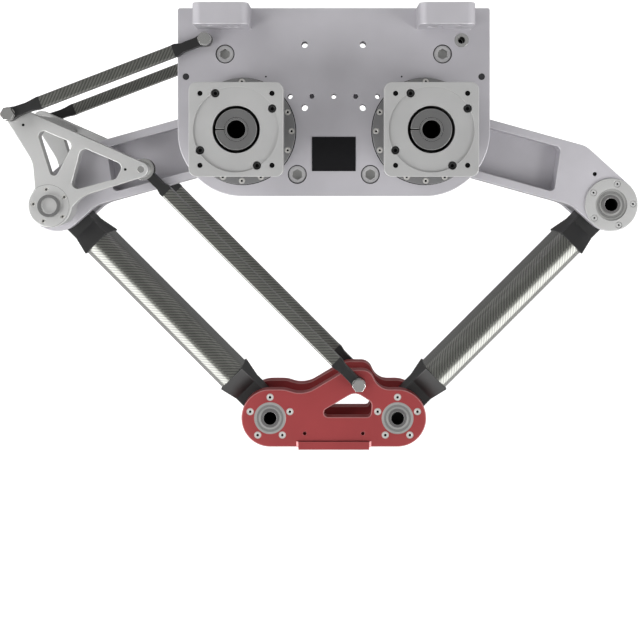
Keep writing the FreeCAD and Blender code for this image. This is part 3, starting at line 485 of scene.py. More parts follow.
def add_piece(work: BMesh, name: str, body: str, slot: str, *materials: Material) -> Object:
    """Turn a bmesh into a piece that rides on a body.

    Args:
        work: The mesh, which is freed.
        name: The piece's name.
        body: The body.
        slot: The record's material slot; not used.
        *materials: Its materials, in slot order.

    Returns:
        The piece.
    """
    piece = mesh_object(work, name, *materials)
    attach(piece, body)
    LOG.info("%s rides on %s", name, body)
    return piece


def dress_node(work: BMesh, node: str, body: str, slot: str, *materials: Material) -> None:
    """Turn a bmesh into a piece that stands for a frame node."""
    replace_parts(add_piece(work, f"{node}_finished", body, slot, *materials), node)


def merged_copy(node: str) -> BMesh:
    """Give a welded copy of a frame node's mesh.

    Args:
        node: The node's name.

    Returns:
        The copy.
    """
    work = bmesh.new()
    work.from_mesh(bpy.data.objects[node].data)
    bmesh.ops.remove_doubles(work, verts=work.verts, dist=WELD)
    return work


def connected(items: Iterable, near: Callable[[object], Iterable]) -> list[list]:
    """Sort items into connected groups.

    Args:
        items: The items.
        near: Gives what lies next to an item.

    Returns:
        The groups.
    """
    left = set(items)
    groups = []
    while left:
        todo = [left.pop()]
        group = []
        while todo:
            item = todo.pop()
            group.append(item)
            fresh = left.intersection(near(item))
            left -= fresh
            todo.extend(fresh)
        groups.append(group)
    return groups


def islands(node: str) -> list[Box]:
    """Give the box of each separate solid in a node.

    Args:
        node: The node's name.

    Returns:
        The low and high corner of each, sorted by the low one.
    """
    work = merged_copy(node)
    solids = connected(
        work.verts, lambda vertex: [edge.other_vert(vertex) for edge in vertex.link_edges])
    boxes = [tuple(Vector(pick(vertex.co[axis] for vertex in solid) for axis in range(3))
                   for pick in (min, max)) for solid in solids]
    work.free()
    return sorted(boxes, key=lambda box: tuple(round(value, 5) for value in box[0]))


def extent(edges: list[BMEdge]) -> float:
    """Give the largest side of the box around a group of edges."""
    points = [vertex.co for edge in edges for vertex in edge.verts]
    return max(max(point[axis] for point in points) - min(point[axis] for point in points)
               for axis in range(3))


def at_depth(box: Box, depth: float) -> Vector:
    """Give a box's middle, seen from the front, at a depth."""
    low, high = box
    return Vector(((low.x + high.x) / 2, depth, (low.z + high.z) / 2))


def plate_face() -> float:
    """Give the depth of the base plate's front face, which carries the label."""
    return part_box("label_plate")[0].y + LABEL_THICKNESS


def bevel(work: BMesh, geom: list, offset: float, segments: int, affect: str = "EDGES") -> list:
    """Round or chamfer edges, or corners alone, and give the new faces."""
    return bmesh.ops.bevel(work, geom=geom, offset=offset, segments=segments, profile=0.5,
                           affect=affect, clamp_overlap=False, material=-1)["faces"]


def turn_profile(work: BMesh, profile: list[tuple[float, float]], centre: Vector, steps: int,
                 material: int = 0) -> None:
    """Spin a closed profile about an axis along Y.

    Args:
        work: The mesh that gets the ring.
        profile: Points as radius and depth.
        centre: A point on the axis; depths count from it.
        steps: Number of steps in a full turn.
        material: The material slot of the new faces.
    """
    known = set(work.faces)
    points = [work.verts.new(centre + Vector((radius, depth, 0.0))) for radius, depth in profile]
    edges = [work.edges.new((points[index - 1], point)) for index, point in enumerate(points)]
    bmesh.ops.spin(work, geom=points + edges, cent=centre, axis=(0.0, 1.0, 0.0), angle=math.tau,
                   steps=steps, use_merge=True)
    fresh = [face for face in work.faces if face not in known]
    for face in fresh:
        face.material_index = material
    bmesh.ops.recalc_face_normals(work, faces=fresh)


def add_drum(work: BMesh, radius: float, length: float, place: Matrix, sides: int) -> set[BMVert]:
    """Add a closed drum about the Z axis of a place, and give its vertices."""
    made = bmesh.ops.create_cone(work, cap_ends=True, segments=sides, radius1=radius,
                                 radius2=radius, depth=length, matrix=place)
    return set(made["verts"])


@dataclass
class Machined:
    """A milled piece: the frame node's own form, with its sharp edges chamfered."""

    node: str
    body: str
    coat: Coat
    chamfer: float
    segments: int = 2
    small_loop: float = 50 * MM
    small_chamfer: float = 0.3 * MM
    bore: float = 0.0
    bore_slack: float = 0.05 * MM
    # Black painted shade for the wall of a bore, where the piece has one.
    dark: Material | None = None
    sharp_angle: float = 34.0

    def build(self) -> None:
        """Build the piece in the frame node's place."""
        work = merged_copy(self.node)
        self.shape(work)
        self.chamfer_edges(work)
        finishes = [self.coat.main, self.coat.edge]
        if self.dark:
            finishes.append(self.dark)
            self.darken_bore(work)
        dress_node(work, self.node, self.body, self.coat.slot, *finishes)

    def shape(self, work: BMesh) -> None:
        """Change the form before its edges are chamfered; a plain piece changes nothing."""

    def chamfer_edges(self, work: BMesh) -> None:
        """Chamfer the sharp outer edges, those of large loops first.

        Args:
            work: The piece's mesh.
        """
        limit = math.radians(self.sharp_angle)
        sharp = {edge for edge in work.edges
                 if edge.is_convex and edge.calc_face_angle(0.0) > limit}
        small = min(self.chamfer, self.small_chamfer)
        for large, size in ((True, self.chamfer), (False, small)):
            groups = connected(sharp, lambda edge: [other for vertex in edge.verts
                                                    for other in vertex.link_edges])
            chosen = {edge for group in groups if (extent(group) > self.small_loop) is large
                      for edge in group}
            rest = sharp - chosen
            if chosen:
                # The chamfers take the edge finish, which is mostly a painted highlight.
                for face in bevel(work, list(chosen), size, self.segments):
                    face.material_index = 1
            sharp = {edge for edge in rest if edge.is_valid}

    def darken_bore(self, work: BMesh) -> None:
        """Paint the bore's wall with the dark finish, a painted shade.

        Args:
            work: The piece's mesh.
        """
        low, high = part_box(self.node)
        axis = (low + high) / 2
        for face in work.faces:
            reach = max((vertex.co - axis).xz.length for vertex in face.verts)
            if reach < self.bore + self.bore_slack:
                face.material_index = 2


@dataclass
class BasePlate(Machined):
    """The plate, with the upright front edges of its hanger bosses rounded."""

    boss_front: float = -72 * MM
    corner: float = 9 * MM
    corner_steps: int = 8
    corner_angle: float = 1.0

    def shape(self, work: BMesh) -> None:
        """Round the bosses' upright front edges.

        Args:
            work: The plate's mesh.
        """
        corners = []
        for edge in work.edges:
            first, second = (vertex.co for vertex in edge.verts)
            upright = (first - second).xy.length < NEAR
            proud = max(first.y, second.y) < self.boss_front
            if upright and proud and edge.calc_face_angle(0.0) > self.corner_angle:
                corners.append(edge)
        bevel(work, corners, self.corner, self.corner_steps)


@dataclass
class SocketScrew:
    """A cap screw's head with a chamfered rim and a hexagon socket."""

    radius: float
    height: float
    socket: float
    rim: float
    sides: int = 32
    mouth: float = 1.12
    socket_edge: float = 0.6
    socket_floor: float = 0.5

    def add(self, work: BMesh, seat: Vector, face: Face) -> None:
        """Add one head.

        Args:
            work: The mesh that gets it.
            seat: Centre of the head's underside.
            face: The way the head looks.
        """
        known = set(work.faces)
        fresh: list[BMVert] = []

        def loop(radius: float, height: float, sides: int) -> list[BMEdge]:
            """Add a ring of edges.

            Args:
                radius: Its radius.
                height: How high above the seat it lies.
                sides: Its number of sides.

            Returns:
                Its edges.
            """
            made = bmesh.ops.create_circle(work, cap_ends=False, radius=radius, segments=sides,
                                           matrix=Matrix.Translation((0.0, 0.0, height)))["verts"]
            fresh.extend(made)
            inside = set(made)
            return [edge for edge in work.edges if inside.issuperset(edge.verts)]

        rings = [
            loop(self.radius, 0.0, self.sides),
            loop(self.radius, self.height - self.rim, self.sides),
            loop(self.radius - self.rim, self.height, self.sides),
            loop(self.socket * self.mouth, self.height, self.sides),
            loop(self.socket, self.height - self.rim * self.socket_edge, 6),
            loop(self.socket, self.height * self.socket_floor, 6),
        ]
        bands = [bmesh.ops.bridge_loops(work, edges=first + second)["faces"]
                 for first, second in zip(rings, rings[1:])]
        caps = [bmesh.ops.contextual_create(work, geom=ring)["faces"]
                for ring in (rings[0], rings[-1])]
        # The socket's faces take the screw set's second material, which on most screws is black
        # painted shade.
        for item in bands[-1] + caps[-1]:
            item.material_index = 1
        bmesh.ops.transform(work, matrix=Matrix.Translation(seat) @ face.turn, verts=fresh)
        faces = [item for item in work.faces if item not in known]
        bmesh.ops.recalc_face_normals(work, faces=faces)


@dataclass
class ScrewSet:
    """Like screws of one frame node, each set where the frame holds it."""

    node: str
    body: str
    material: Material
    socket: Material
    socket_share: float
    middle: float | None = None
    shank: float = 0.0
    head_share: float = 1.35
    rim_share: float = 0.14
    largest_rim: float = 0.5 * MM
    tip: float = 1 * MM

    def build(self) -> None:
        """Build all the heads, and shanks where they have one, as one piece."""
        work = bmesh.new()
        for low, high in islands(self.node):
            centre = (low + high) / 2
            radius = (high.x - low.x) / 2
            length = high.y - low.y
            height = min(length, radius * self.head_share) if self.shank else length
            front = self.middle is None or centre.y < self.middle
            seat = Vector((centre.x, low.y + height if front else high.y - height, centre.z))
            rim = min(self.largest_rim, radius * self.rim_share)
            screw = SocketScrew(radius, height, radius * self.socket_share, rim)
            screw.add(work, seat, Face.FRONT if front else Face.BACK)
            if self.shank:
                far = high.y - seat.y
                profile = [(0.0, 0.0), (self.shank, 0.0), (self.shank, far - self.tip),
                           (self.shank - self.tip, far), (0.0, far)]
                turn_profile(work, profile, seat, steps=24)
        bmesh.ops.remove_doubles(work, verts=work.verts, dist=WELD / 10)
        dress_node(work, self.node, self.body, "steel", self.material, self.socket)


@dataclass
class DarkMark:
    """Thin dark pieces of one kind, one at each place."""

    name: str
    body: str
    material: Material
    places: list[Vector]

    def build(self) -> None:
        """Build them as one piece."""
        work = bmesh.new()
        for place in self.places:
            self.mark(work, place)
        add_piece(work, self.name, self.body, "dark_trim", self.material)

    def mark(self, work: BMesh, place: Vector) -> None:
        """Add one of them round its centre; each kind has its own form."""
        raise NotImplementedError


@dataclass
class DarkBore(DarkMark):
    """A black disc of painted shade deep in a bore, so that the bore looks as deep as the real one.
    """

    radius: float
    thickness: float = 0.4 * MM

    FRONT_REACH = 1 * MM
    RIM_REACH = 1.5 * MM
    CLEARANCE = 0.1 * MM

    @classmethod
    def in_node(cls, node: str, body: str, material: Material, depth: float) -> "DarkBore":
        """Fit the disc to the bore at the front of a node.

        Args:
            node: The frame node with the bore.
            body: The body that it rides on.
            material: The disc's material.
            depth: How deep the disc sits.

        Returns:
            The bore.
        """
        boxes = islands(node)
        front = min(low.y for low, _ in boxes)
        places = [at_depth(box, box[0].y + depth) for box in boxes
                  if box[0].y < front + cls.FRONT_REACH]
        points = [vertex.co for vertex in bpy.data.objects[node].data.vertices]
        rim = min((point - places[0]).xz.length for point in points
                  if point.y < front + cls.RIM_REACH)
        return cls(f"{node}_bore", body, material, places, rim - cls.CLEARANCE)

    def mark(self, work: BMesh, place: Vector) -> None:
        """Add one disc."""
        turned = Matrix.Translation(place) @ Face.FRONT.turn
        add_drum(work, self.radius, self.thickness, turned, sides=32)


@dataclass
class RimLine(DarkMark):
    """A thin flat ring on a face, such as the painted shade in the gap round a flush screw."""

    inner: float
    outer: float
    height: float = 0.1 * MM

    def mark(self, work: BMesh, place: Vector) -> None:
        """Add one ring."""
        profile = [(self.inner, -self.height), (self.outer, -self.height),
                   (self.outer, self.height), (self.inner, self.height)]
        turn_profile(work, profile, place, steps=64)


@dataclass(frozen=True)
class HexBolt:
    """A hexagon bolt head with a chamfered crown and a washer under it."""

    across: float = 17 * MM
    height: float = 7 * MM
    shank: float = 4.75 * MM
    corner_chamfer: float = 1.3 * MM
    crown: float = 7.48 * MM
    crown_height: float = 0.5 * MM
    crown_proud: float = 0.35 * MM
    washer: float = 9.52 * MM
    washer_height: float = 1.2 * MM

    def add(self, work: BMesh, seat: Vector, face: Face, length: float) -> None:
        """Add one bolt.

        Args:
            work: The mesh that gets it.
            seat: Centre of the head's underside.
            face: The way the head looks.
            length: Length of the shank, behind the head.
        """

        def drum(radius: float, depth: float, middle: float, sides: int) -> set[BMVert]:
            """Add a drum on the bolt's axis."""
            return add_drum(work, radius, depth, Matrix.Translation((0.0, 0.0, middle)), sides)

        known = set(work.verts)
        head = drum(self.across / 2 / math.cos(math.pi / 6), self.height, self.height / 2, sides=6)
        corners = {vertex for vertex in head if vertex.co.z > self.height / 2}
        top = [edge for edge in work.edges if corners.issuperset(edge.verts)]
        bevel(work, [*corners, *top], self.corner_chamfer, segments=2)
        crown_middle = self.height + self.crown_proud - self.crown_height / 2
        drum(self.crown, self.crown_height, crown_middle, sides=32)
        drum(self.washer, self.washer_height, self.washer_height / 2, sides=40)
        drum(self.shank, length, -length / 2, sides=24)
        fresh = [vertex for vertex in work.verts if vertex not in known]
        turn = face.turn @ Matrix.Rotation(math.pi / 6, 4, "Z")
        bmesh.ops.transform(work, matrix=Matrix.Translation(seat) @ turn, verts=fresh)


@dataclass
class CarbonTube:
    """A straight tube of rounded rectangular section, wrapped in twill by its UV map."""

    node: str
    body: str
    start: Vector
    end: Vector
    width: float
    depth: float
    corner: float
    inset: float
    wall: float
    corner_steps: int = 10

    def build(self, carbon: Material) -> None:
        """Build the tube.

        Args:
            carbon: Its material.
        """
        along = (self.end - self.start).normalized()
        length = (self.end - self.start).length - 2 * self.inset
        work = bmesh.new()
        bmesh.ops.create_grid(work, x_segments=1, y_segments=1, size=0.5)
        bmesh.ops.scale(work, vec=(self.depth, self.width, 1.0), verts=work.verts)
        bevel(work, list(work.verts), self.corner, self.corner_steps, "VERTICES")
        section = work.faces[:]
        outline = [vertex.co.copy() for vertex in section[0].verts]
        wall = bmesh.ops.inset_region(work, faces=section, thickness=self.wall, use_boundary=True)
        middle = [face for face in work.faces if face not in wall["faces"]]
        bmesh.ops.delete(work, geom=middle, context="FACES")
        side = bmesh.ops.extrude_face_region(work, geom=work.faces[:])["geom"]
        moved = [item for item in side if isinstance(item, BMVert)]
        bmesh.ops.translate(work, vec=(0.0, 0.0, length), verts=moved)
        self.wrap(work, outline)
        across = Vector((0.0, 1.0, 0.0))
        place = self.start + along * self.inset
        basis = Matrix((across, along.cross(across), along)).transposed().to_4x4()
        bmesh.ops.transform(work, matrix=Matrix.Translation(place) @ basis, verts=work.verts)
        bmesh.ops.recalc_face_normals(work, faces=work.faces)
        dress_node(work, self.node, self.body, "carbon", carbon)

    @staticmethod
    def wrap(work: BMesh, outline: list[Vector]) -> None:
        """Lay the cloth: U runs along the tube and V around it, in metres.

        Args:
            work: The tube's mesh, standing along Z.
            outline: The corners of its outer section, in order.
        """
        travel = [0.0]
        for first, second in zip(outline, outline[1:] + outline[:1]):
            travel.append(travel[-1] + (second - first).length)
        layer = work.loops.layers.uv.new("cloth")
        for face in work.faces:
            corners = [(loop, min(range(len(outline)), key=lambda index: (
                outline[index].xy - loop.vert.co.xy).length)) for loop in face.loops]
            seam = {0, len(outline) - 1} <= {nearest for _, nearest in corners}
            for loop, nearest in corners:
                around = travel[-1] if seam and nearest == 0 else travel[nearest]
                loop[layer].uv = (loop.vert.co.z, around)


@dataclass
class Bearing:
    """A sealed ball bearing: outer ring, sunk seal and inner ring."""

    node: str
    body: str
    outer_wall: float = 3.4 * MM
    inner_wall: float = 2.6 * MM
    sink: float = 0.7 * MM
    seal_gap: float = 0.05 * MM
    soft_rim: float = 0.35 * MM
    soft_seal: float = 0.2 * MM

    def build(self, finishes: Finishes) -> None:
        """Build every bearing of the node.

        Args:
            finishes: The finishes.
        """
        work = bmesh.new()
        race = BEARING_BORE + self.inner_wall
        for low, high in islands(self.node):
            outer = (high.x - low.x) / 2
            half = (high.y - low.y) / 2
            shell = outer - self.outer_wall
            for inside, outside, reach, soft, material in (
                    (shell, outer, half, self.soft_rim, 0),
                    (race + self.seal_gap, shell - self.seal_gap, half - self.sink,
                     self.soft_seal, 1),
                    (BEARING_BORE, race, half, self.soft_rim, 0)):
                profile = [
                    (inside, soft - reach), (inside + soft, -reach), (outside - soft, -reach),
                    (outside, soft - reach), (outside, reach - soft), (outside - soft, reach),
                    (inside + soft, reach), (inside, reach - soft),
                ]
                turn_profile(work, profile, (low + high) / 2, steps=56, material=material)
        dress_node(work, self.node, self.body, "bearing_steel", finishes.bearing, finishes.shield)


@dataclass
class Pivots:
    """Pivot places, read from the frame's joints."""

    joints: dict[str, Vector]

    @classmethod
    def read(cls, frame: dict) -> "Pivots":
        """Read the places from the loaded frame."""
        return cls({joint["name"]: Vector(joint["pos_m"])
                    for joint in frame["joints"] if "pos_m" in joint})

    def at(self, name: str) -> Vector:
        """Give a joint's place."""
        return self.joints[name].copy()

    @property
    def right_platform(self) -> Vector:
        """Give the open pivot, which mirrors the left one."""
        left = self.at("left_platform_swing")
        return Vector((-left.x, left.y, left.z))

    @property
    def long_rod_low(self) -> Vector:
        """Give the long rods' lower pivot, which lies to the platform as the upper to the elbow."""
        rise = self.at("long_rod_turn") - self.at("left_elbow_turn")
        return self.at("left_platform_swing") + rise


@dataclass
class Assembly:
    """A sub-assembly, dressed with the shared finishes."""

    finishes: Finishes
    pivots: Pivots

    @staticmethod
    def mill(coat: Coat, body: str, *nodes: str, **sizes: object) -> None:
        """Dress frame nodes as milled pieces, with any further fields of Machined."""
        for node in nodes:
            Machined(node, body, coat, **sizes).build()

    def line(self, name: str, body: str, places: list[Vector], inner: float, outer: float,
             height: float = RimLine.height) -> None:
        """Draw thin black rings of painted shade round their centres, half sunk and a height proud.
        """
        RimLine(name, body, self.finishes.hole, places, inner, outer, height).build()

    def hole(self, name: str, body: str, places: list[Vector], radius: float) -> None:
        """Mark small holes with black discs of painted shade."""
        DarkBore(name, body, self.finishes.hole, places, radius).build()


@dataclass
class FrameAssembly(Assembly):
    """The hanging plate with its fittings."""

    screw_gap: float = 0.9 * MM
    screw_overlap: float = 0.1 * MM
    anchor_bore: float = 4.7 * MM
    anchor_floor: float = 0.5 * MM
    dots: tuple = (-93 * MM, 93 * MM)
    dot_height: float = -94 * MM
    dot_radius: float = 1.2 * MM

    def build(self) -> None:
        """Build every piece of the plate."""
        finishes = self.finishes
        BasePlate("base_plate", "frame", finishes.plate, chamfer=1 * MM, segments=3).build()
        self.mill(finishes.label, "frame", "label_plate", chamfer=0.25 * MM, segments=1)
        self.mill(finishes.plug, "frame", "edge_plugs", chamfer=0.4 * MM)
        self.mill(finishes.bush, "frame", "anchor_bushes", chamfer=0.3 * MM)
        self.mill(finishes.pin, "frame", "anchor_spacer", chamfer=0.2 * MM)
        post = finishes.light._replace(slot="steel")
        self.mill(post, "frame", "rear_rod_post", chamfer=0.5 * MM)
        face = plate_face()
        heads = islands("plate_cap_screws")
        radius = (heads[0][1].x - heads[0][0].x) / 2
        # A black ring of painted shade in the gap round each cap screw's head.
        self.line("cap_screw_gap_shade", "frame", [at_depth(head, face) for head in heads],
                  radius - self.screw_overlap, radius + self.screw_gap)
        # A black disc of painted shade deep in the spare anchor bush's bore.
        bush = islands("anchor_bushes")[-1]
        rear = at_depth(bush, bush[1].y - self.anchor_floor)
        self.hole("spare_anchor_bore", "frame", [rear], self.anchor_bore)
        # Black discs of painted shade in the plate's two pin holes.
        dots = [Vector((across, face, self.dot_height)) for across in self.dots]
        self.hole("plate_pin_holes", "frame", dots, self.dot_radius)
        ScrewSet("plate_cap_screws", "frame", finishes.flush_screw, finishes.bearing,
                 socket_share=0.62, shank=8 * MM).build()


@dataclass
class Drive(Assembly):
    """One drive: motor adapter, gearbox, ring screws and the clamp hub for the motor."""

    side: Side
    pilot_loop: float = 118 * MM
    bolt_half: float = 46 * MM
    bolt_hole: float = 3.3 * MM
    bolt_floor: float = 2 * MM
    shadow: float = 1.2 * MM
    shadow_overlap: float = 1 * MM
    bush_line: float = 14.9 * MM
    bush_gap: float = 0.6 * MM
    bush_proud: float = 0.06 * MM
    shaft_bore: float = 12 * MM
    bore_floor: float = 40 * MM

    def build(self) -> None:
        """Build the drive's pieces."""
        side, finishes = self.side, self.finishes
        motor = f"{side}_input"
        self.mill(finishes.adapter, "frame", f"{side}_motor_adapter", chamfer=0.8 * MM, segments=3,
                  small_loop=self.pilot_loop, small_chamfer=0.15 * MM)
        self.mill(finishes.housing, "frame", f"{side}_gearbox_housing", chamfer=0.4 * MM)
        ScrewSet(f"{side}_ring_screws", "frame", finishes.screw, finishes.hole,
                 socket_share=0.42).build()
        ScrewSet(f"{side}_adapter_screws", "frame", finishes.black.main, finishes.hole,
                 socket_share=0.55).build()
        self.mill(finishes.hub, motor, f"{side}_clamp_hub", chamfer=0.5 * MM)
        # The shaft bush's bore wall and a disc deep in it are black painted shade.
        self.mill(finishes.hub, motor, f"{side}_shaft_bush", chamfer=0.4 * MM,
                  bore=self.shaft_bore, dark=finishes.hole)
        self.mill(finishes.housing, f"{side}_upper", f"{side}_output_flange", chamfer=0.5 * MM)
        DarkBore.in_node(f"{side}_shaft_bush", motor, finishes.hole, self.bore_floor).build()
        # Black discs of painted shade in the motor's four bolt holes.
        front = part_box(f"{side}_motor_adapter")[0].y
        axis = self.pivots.at(f"{side}_drive")
        places = [Vector((axis.x + across * self.bolt_half, front + self.bolt_floor,
                          axis.z + up * self.bolt_half)) for across in (-1, 1) for up in (-1, 1)]
        self.hole(f"{side}_motor_bolt_hole_shade", "frame", places, self.bolt_hole)
        low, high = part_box(f"{side}_gearbox_housing")
        ring = (high.x - low.x) / 2
        self.line(f"{side}_gearbox_shadow", "frame", [Vector((axis.x, plate_face(), axis.z))],
                  ring - self.shadow_overlap, ring + self.shadow, height=FLUSH)
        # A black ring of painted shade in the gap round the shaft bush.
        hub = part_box(f"{side}_clamp_hub")[0].y
        self.line(f"{side}_bush_line", motor, [Vector((axis.x, hub, axis.z))],
                  self.bush_line, self.bush_line + self.bush_gap, height=self.bush_proud)


@dataclass
class Arms(Assembly):
    """Upper and lower arms with their elbows."""

    tube_width: float = 42 * MM
    tube_depth: float = 80 * MM
    tube_corner: float = 20.5 * MM
    tube_inset: float = 78 * MM
    tube_wall: float = 3 * MM
    hole_across: float = 368.3 * MM
    hole_height: float = -228 * MM
    hole_floor: float = 30.5 * MM
    hole_radius: float = 2.85 * MM

    def build(self) -> None:
        """Build both arms."""
        finishes = self.finishes
        for side in Side:
            self.upper(side)
            self.lower(side)
        ScrewSet("right_elbow_screws", "right_upper", finishes.light.main, finishes.hole,
                 socket_share=0.35, middle=self.pivots.at("right_elbow_turn").y).build()
        self.mill(finishes.light, "right_upper", "right_elbow_caps", chamfer=0.5 * MM)
        # The elbow shaft's bore wall and a disc deep in it are black painted shade.
        self.mill(finishes.shaft, "right_elbow_pivot", "right_elbow_shaft", chamfer=0.6 * MM,
                  bore=PIVOT_BORE, dark=finishes.hole)
        DarkBore.in_node("right_elbow_shaft", "right_elbow_pivot", finishes.hole,
                         PIVOT_FLOOR).build()
        shaft = finishes.light._replace(slot="bearing_steel")
        self.mill(shaft, "left_elbow_pivot", "left_elbow_shaft", chamfer=1 * MM)

    def upper(self, side: Side) -> None:
        """Build one upper arm and its elbow bearings.

        Args:
            side: The arm's side.
        """
        body = f"{side}_upper"
        self.mill(self.finishes.plate, body, f"{side}_upper_arm", chamfer=1 * MM, segments=3)
        Bearing(f"{side}_elbow_bearings", body).build(self.finishes)
        # A black disc of painted shade in the arm's hole.
        across = -self.hole_across if side is Side.LEFT else self.hole_across
        place = Vector((across, self.hole_floor, self.hole_height))
        self.hole(f"{side}_arm_hole", body, [place], self.hole_radius)

    def lower(self, side: Side) -> None:
        """Build one lower arm.

        Args:
            side: The arm's side.
        """
        body = f"{side}_lower"
        pivots = self.pivots
        end = pivots.at("left_platform_swing") if side is Side.LEFT else pivots.right_platform
        CarbonTube(f"{side}_lower_tube", body, pivots.at(f"{side}_elbow_turn"), end,
                   self.tube_width, self.tube_depth, self.tube_corner, self.tube_inset,
                   self.tube_wall).build(self.finishes.carbon)
        self.mill(self.finishes.black, body, f"{side}_elbow_tongue", f"{side}_platform_tongue",
                  chamfer=1.2 * MM, segments=3)


@dataclass
class RodEnds(Machined):
    """The end fittings of one rod, with a neck between eye and tube that is narrower than both."""

    pivots: tuple[Vector, Vector] = (Vector(), Vector())
    neck_from: float = 11 * MM
    neck_to: float = 33 * MM
    shoulder: float = 41 * MM
    waist: float = 0.68

    def shape(self, work: BMesh) -> None:
        """Cut each fitting across at the neck's ends and draw the neck in.

        Args:
            work: The fittings' mesh.
        """
        for pivot, other in (self.pivots, self.pivots[::-1]):
            along = (other - pivot).normalized()
            across = along.cross(Vector((0.0, 1.0, 0.0)))
            for distance in (self.neck_from, self.neck_to, self.shoulder):
                bmesh.ops.bisect_plane(work, geom=work.verts[:] + work.edges[:] + work.faces[:],
                                       dist=WELD, plane_co=pivot + along * distance, plane_no=along)
            for vertex in work.verts:
                offset = vertex.co - pivot
                if self.neck_from - NEAR < offset.dot(along) < self.neck_to + NEAR:
                    vertex.co -= across * offset.dot(across) * (1 - self.waist)


@dataclass
class Rods(Assembly):
    """The short and long rods."""

    width: float = 17 * MM
    depth: float = 13 * MM
    corner: float = 3 * MM
    inset: float = 46 * MM
    wall: float = 2 * MM

    def build(self) -> None:
        """Build the four rods."""
        anchor = self.pivots.at("short_rod_swing")
        tip = anchor + self.pivots.at("left_elbow_turn") - self.pivots.at("left_drive")
        self.pair("short_rod", "short_rods", anchor, tip)
        high = self.pivots.at("long_rod_turn")
        self.pair("long_rod", "long_rods", high, self.pivots.long_rod_low)

    def pair(self, name: str, body: str, start: Vector, end: Vector) -> None:
        """Build the front and rear rod of a pair.

        Args:
            name: Start of the node names.
            body: The body that they ride on.
            start: First pivot.
            end: Second pivot.
        """
        for place in ("front", "rear"):
            node = f"{name}_{place}_tube"
            low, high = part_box(node)
            level = (low.y + high.y) / 2
            first, second = (Vector((pivot.x, level, pivot.z)) for pivot in (start, end))
            CarbonTube(node, body, first, second, self.width, self.depth, self.corner,
                       self.inset, self.wall).build(self.finishes.carbon)
            RodEnds(f"{name}_{place}_ends", body, self.finishes.black, chamfer=0.7 * MM,
                    pivots=(first, second)).build()


@dataclass
class BoltSet:
    """Hexagon bolts of one frame node."""

    node: str
    body: str
    steel: Material
    middle: float
    both_ends: bool = False
    bolt: HexBolt = HexBolt()
    stub: float = 1 * MM

    def build(self) -> None:
        """Build the bolts where the frame holds them."""
        work = bmesh.new()
        head = self.bolt.height
        for box in islands(self.node):
            low, high = box[0].y, box[1].y
            shank = high - low - head
            front = self.both_ends or (low + high) / 2 < self.middle
            if front:
                length = shank - head if self.both_ends else max(shank, self.stub)
                self.bolt.add(work, at_depth(box, low + head), Face.FRONT, length)
            if self.both_ends or not front:
                length = self.stub if self.both_ends else max(shank, self.stub)
                self.bolt.add(work, at_depth(box, high - head), Face.BACK, length)
        dress_node(work, self.node, self.body, "steel", self.steel)


@dataclass
class Rocker(Assembly):
    """The rocker that keeps its angle at the left elbow."""

    hub_line: float = 29.4 * MM
    hub_gap: float = 0.3 * MM
    ring_inner: float = 11.3 * MM
    ring_outer: float = 15.4 * MM
    sink_depth: float = 3.9 * MM
    holes: tuple = ((-33.6 * MM, 110.9 * MM), (106 * MM, 50 * MM))
    hole_radius: float = 1.9 * MM

    def build(self) -> None:
        """Build the rocker's pieces."""
        finishes = self.finishes
        elbow = self.pivots.at("left_elbow_turn")
        self.mill(finishes.light, "rocker", "rocker_front_frame", "rocker_rear_frame",
                  "rocker_crossbar", chamfer=1 * MM, segments=3)
        ScrewSet("rocker_hub_screws", "rocker", finishes.screw, finishes.hole,
                 socket_share=0.45, middle=elbow.y).build()
        BoltSet("rocker_rod_bolts", "rocker", finishes.steel, elbow.y).build()
        self.mill(finishes.pin, "rod_pins", "long_rod_pins", chamfer=0.4 * MM)
        # A black ring of painted shade in the gap round the hub disc.
        face = Vector((elbow.x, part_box("rocker_front_frame")[0].y, elbow.z))
        self.line("rocker_hub_shade_line", "rocker", [face], self.hub_line - self.hub_gap, self.hub_line,
                  height=FLUSH)
        sink = face + Vector((0.0, self.sink_depth, 0.0))
        RimLine("rocker_hub_ring", "rocker", finishes.hub.main, [sink], self.ring_inner,
                self.ring_outer).build()
        # Black discs of painted shade in the rocker's small holes.
        holes = [face + Vector((across, 0.0, up)) for across, up in self.holes]
        self.hole("rocker_holes", "rocker", holes, self.hole_radius)


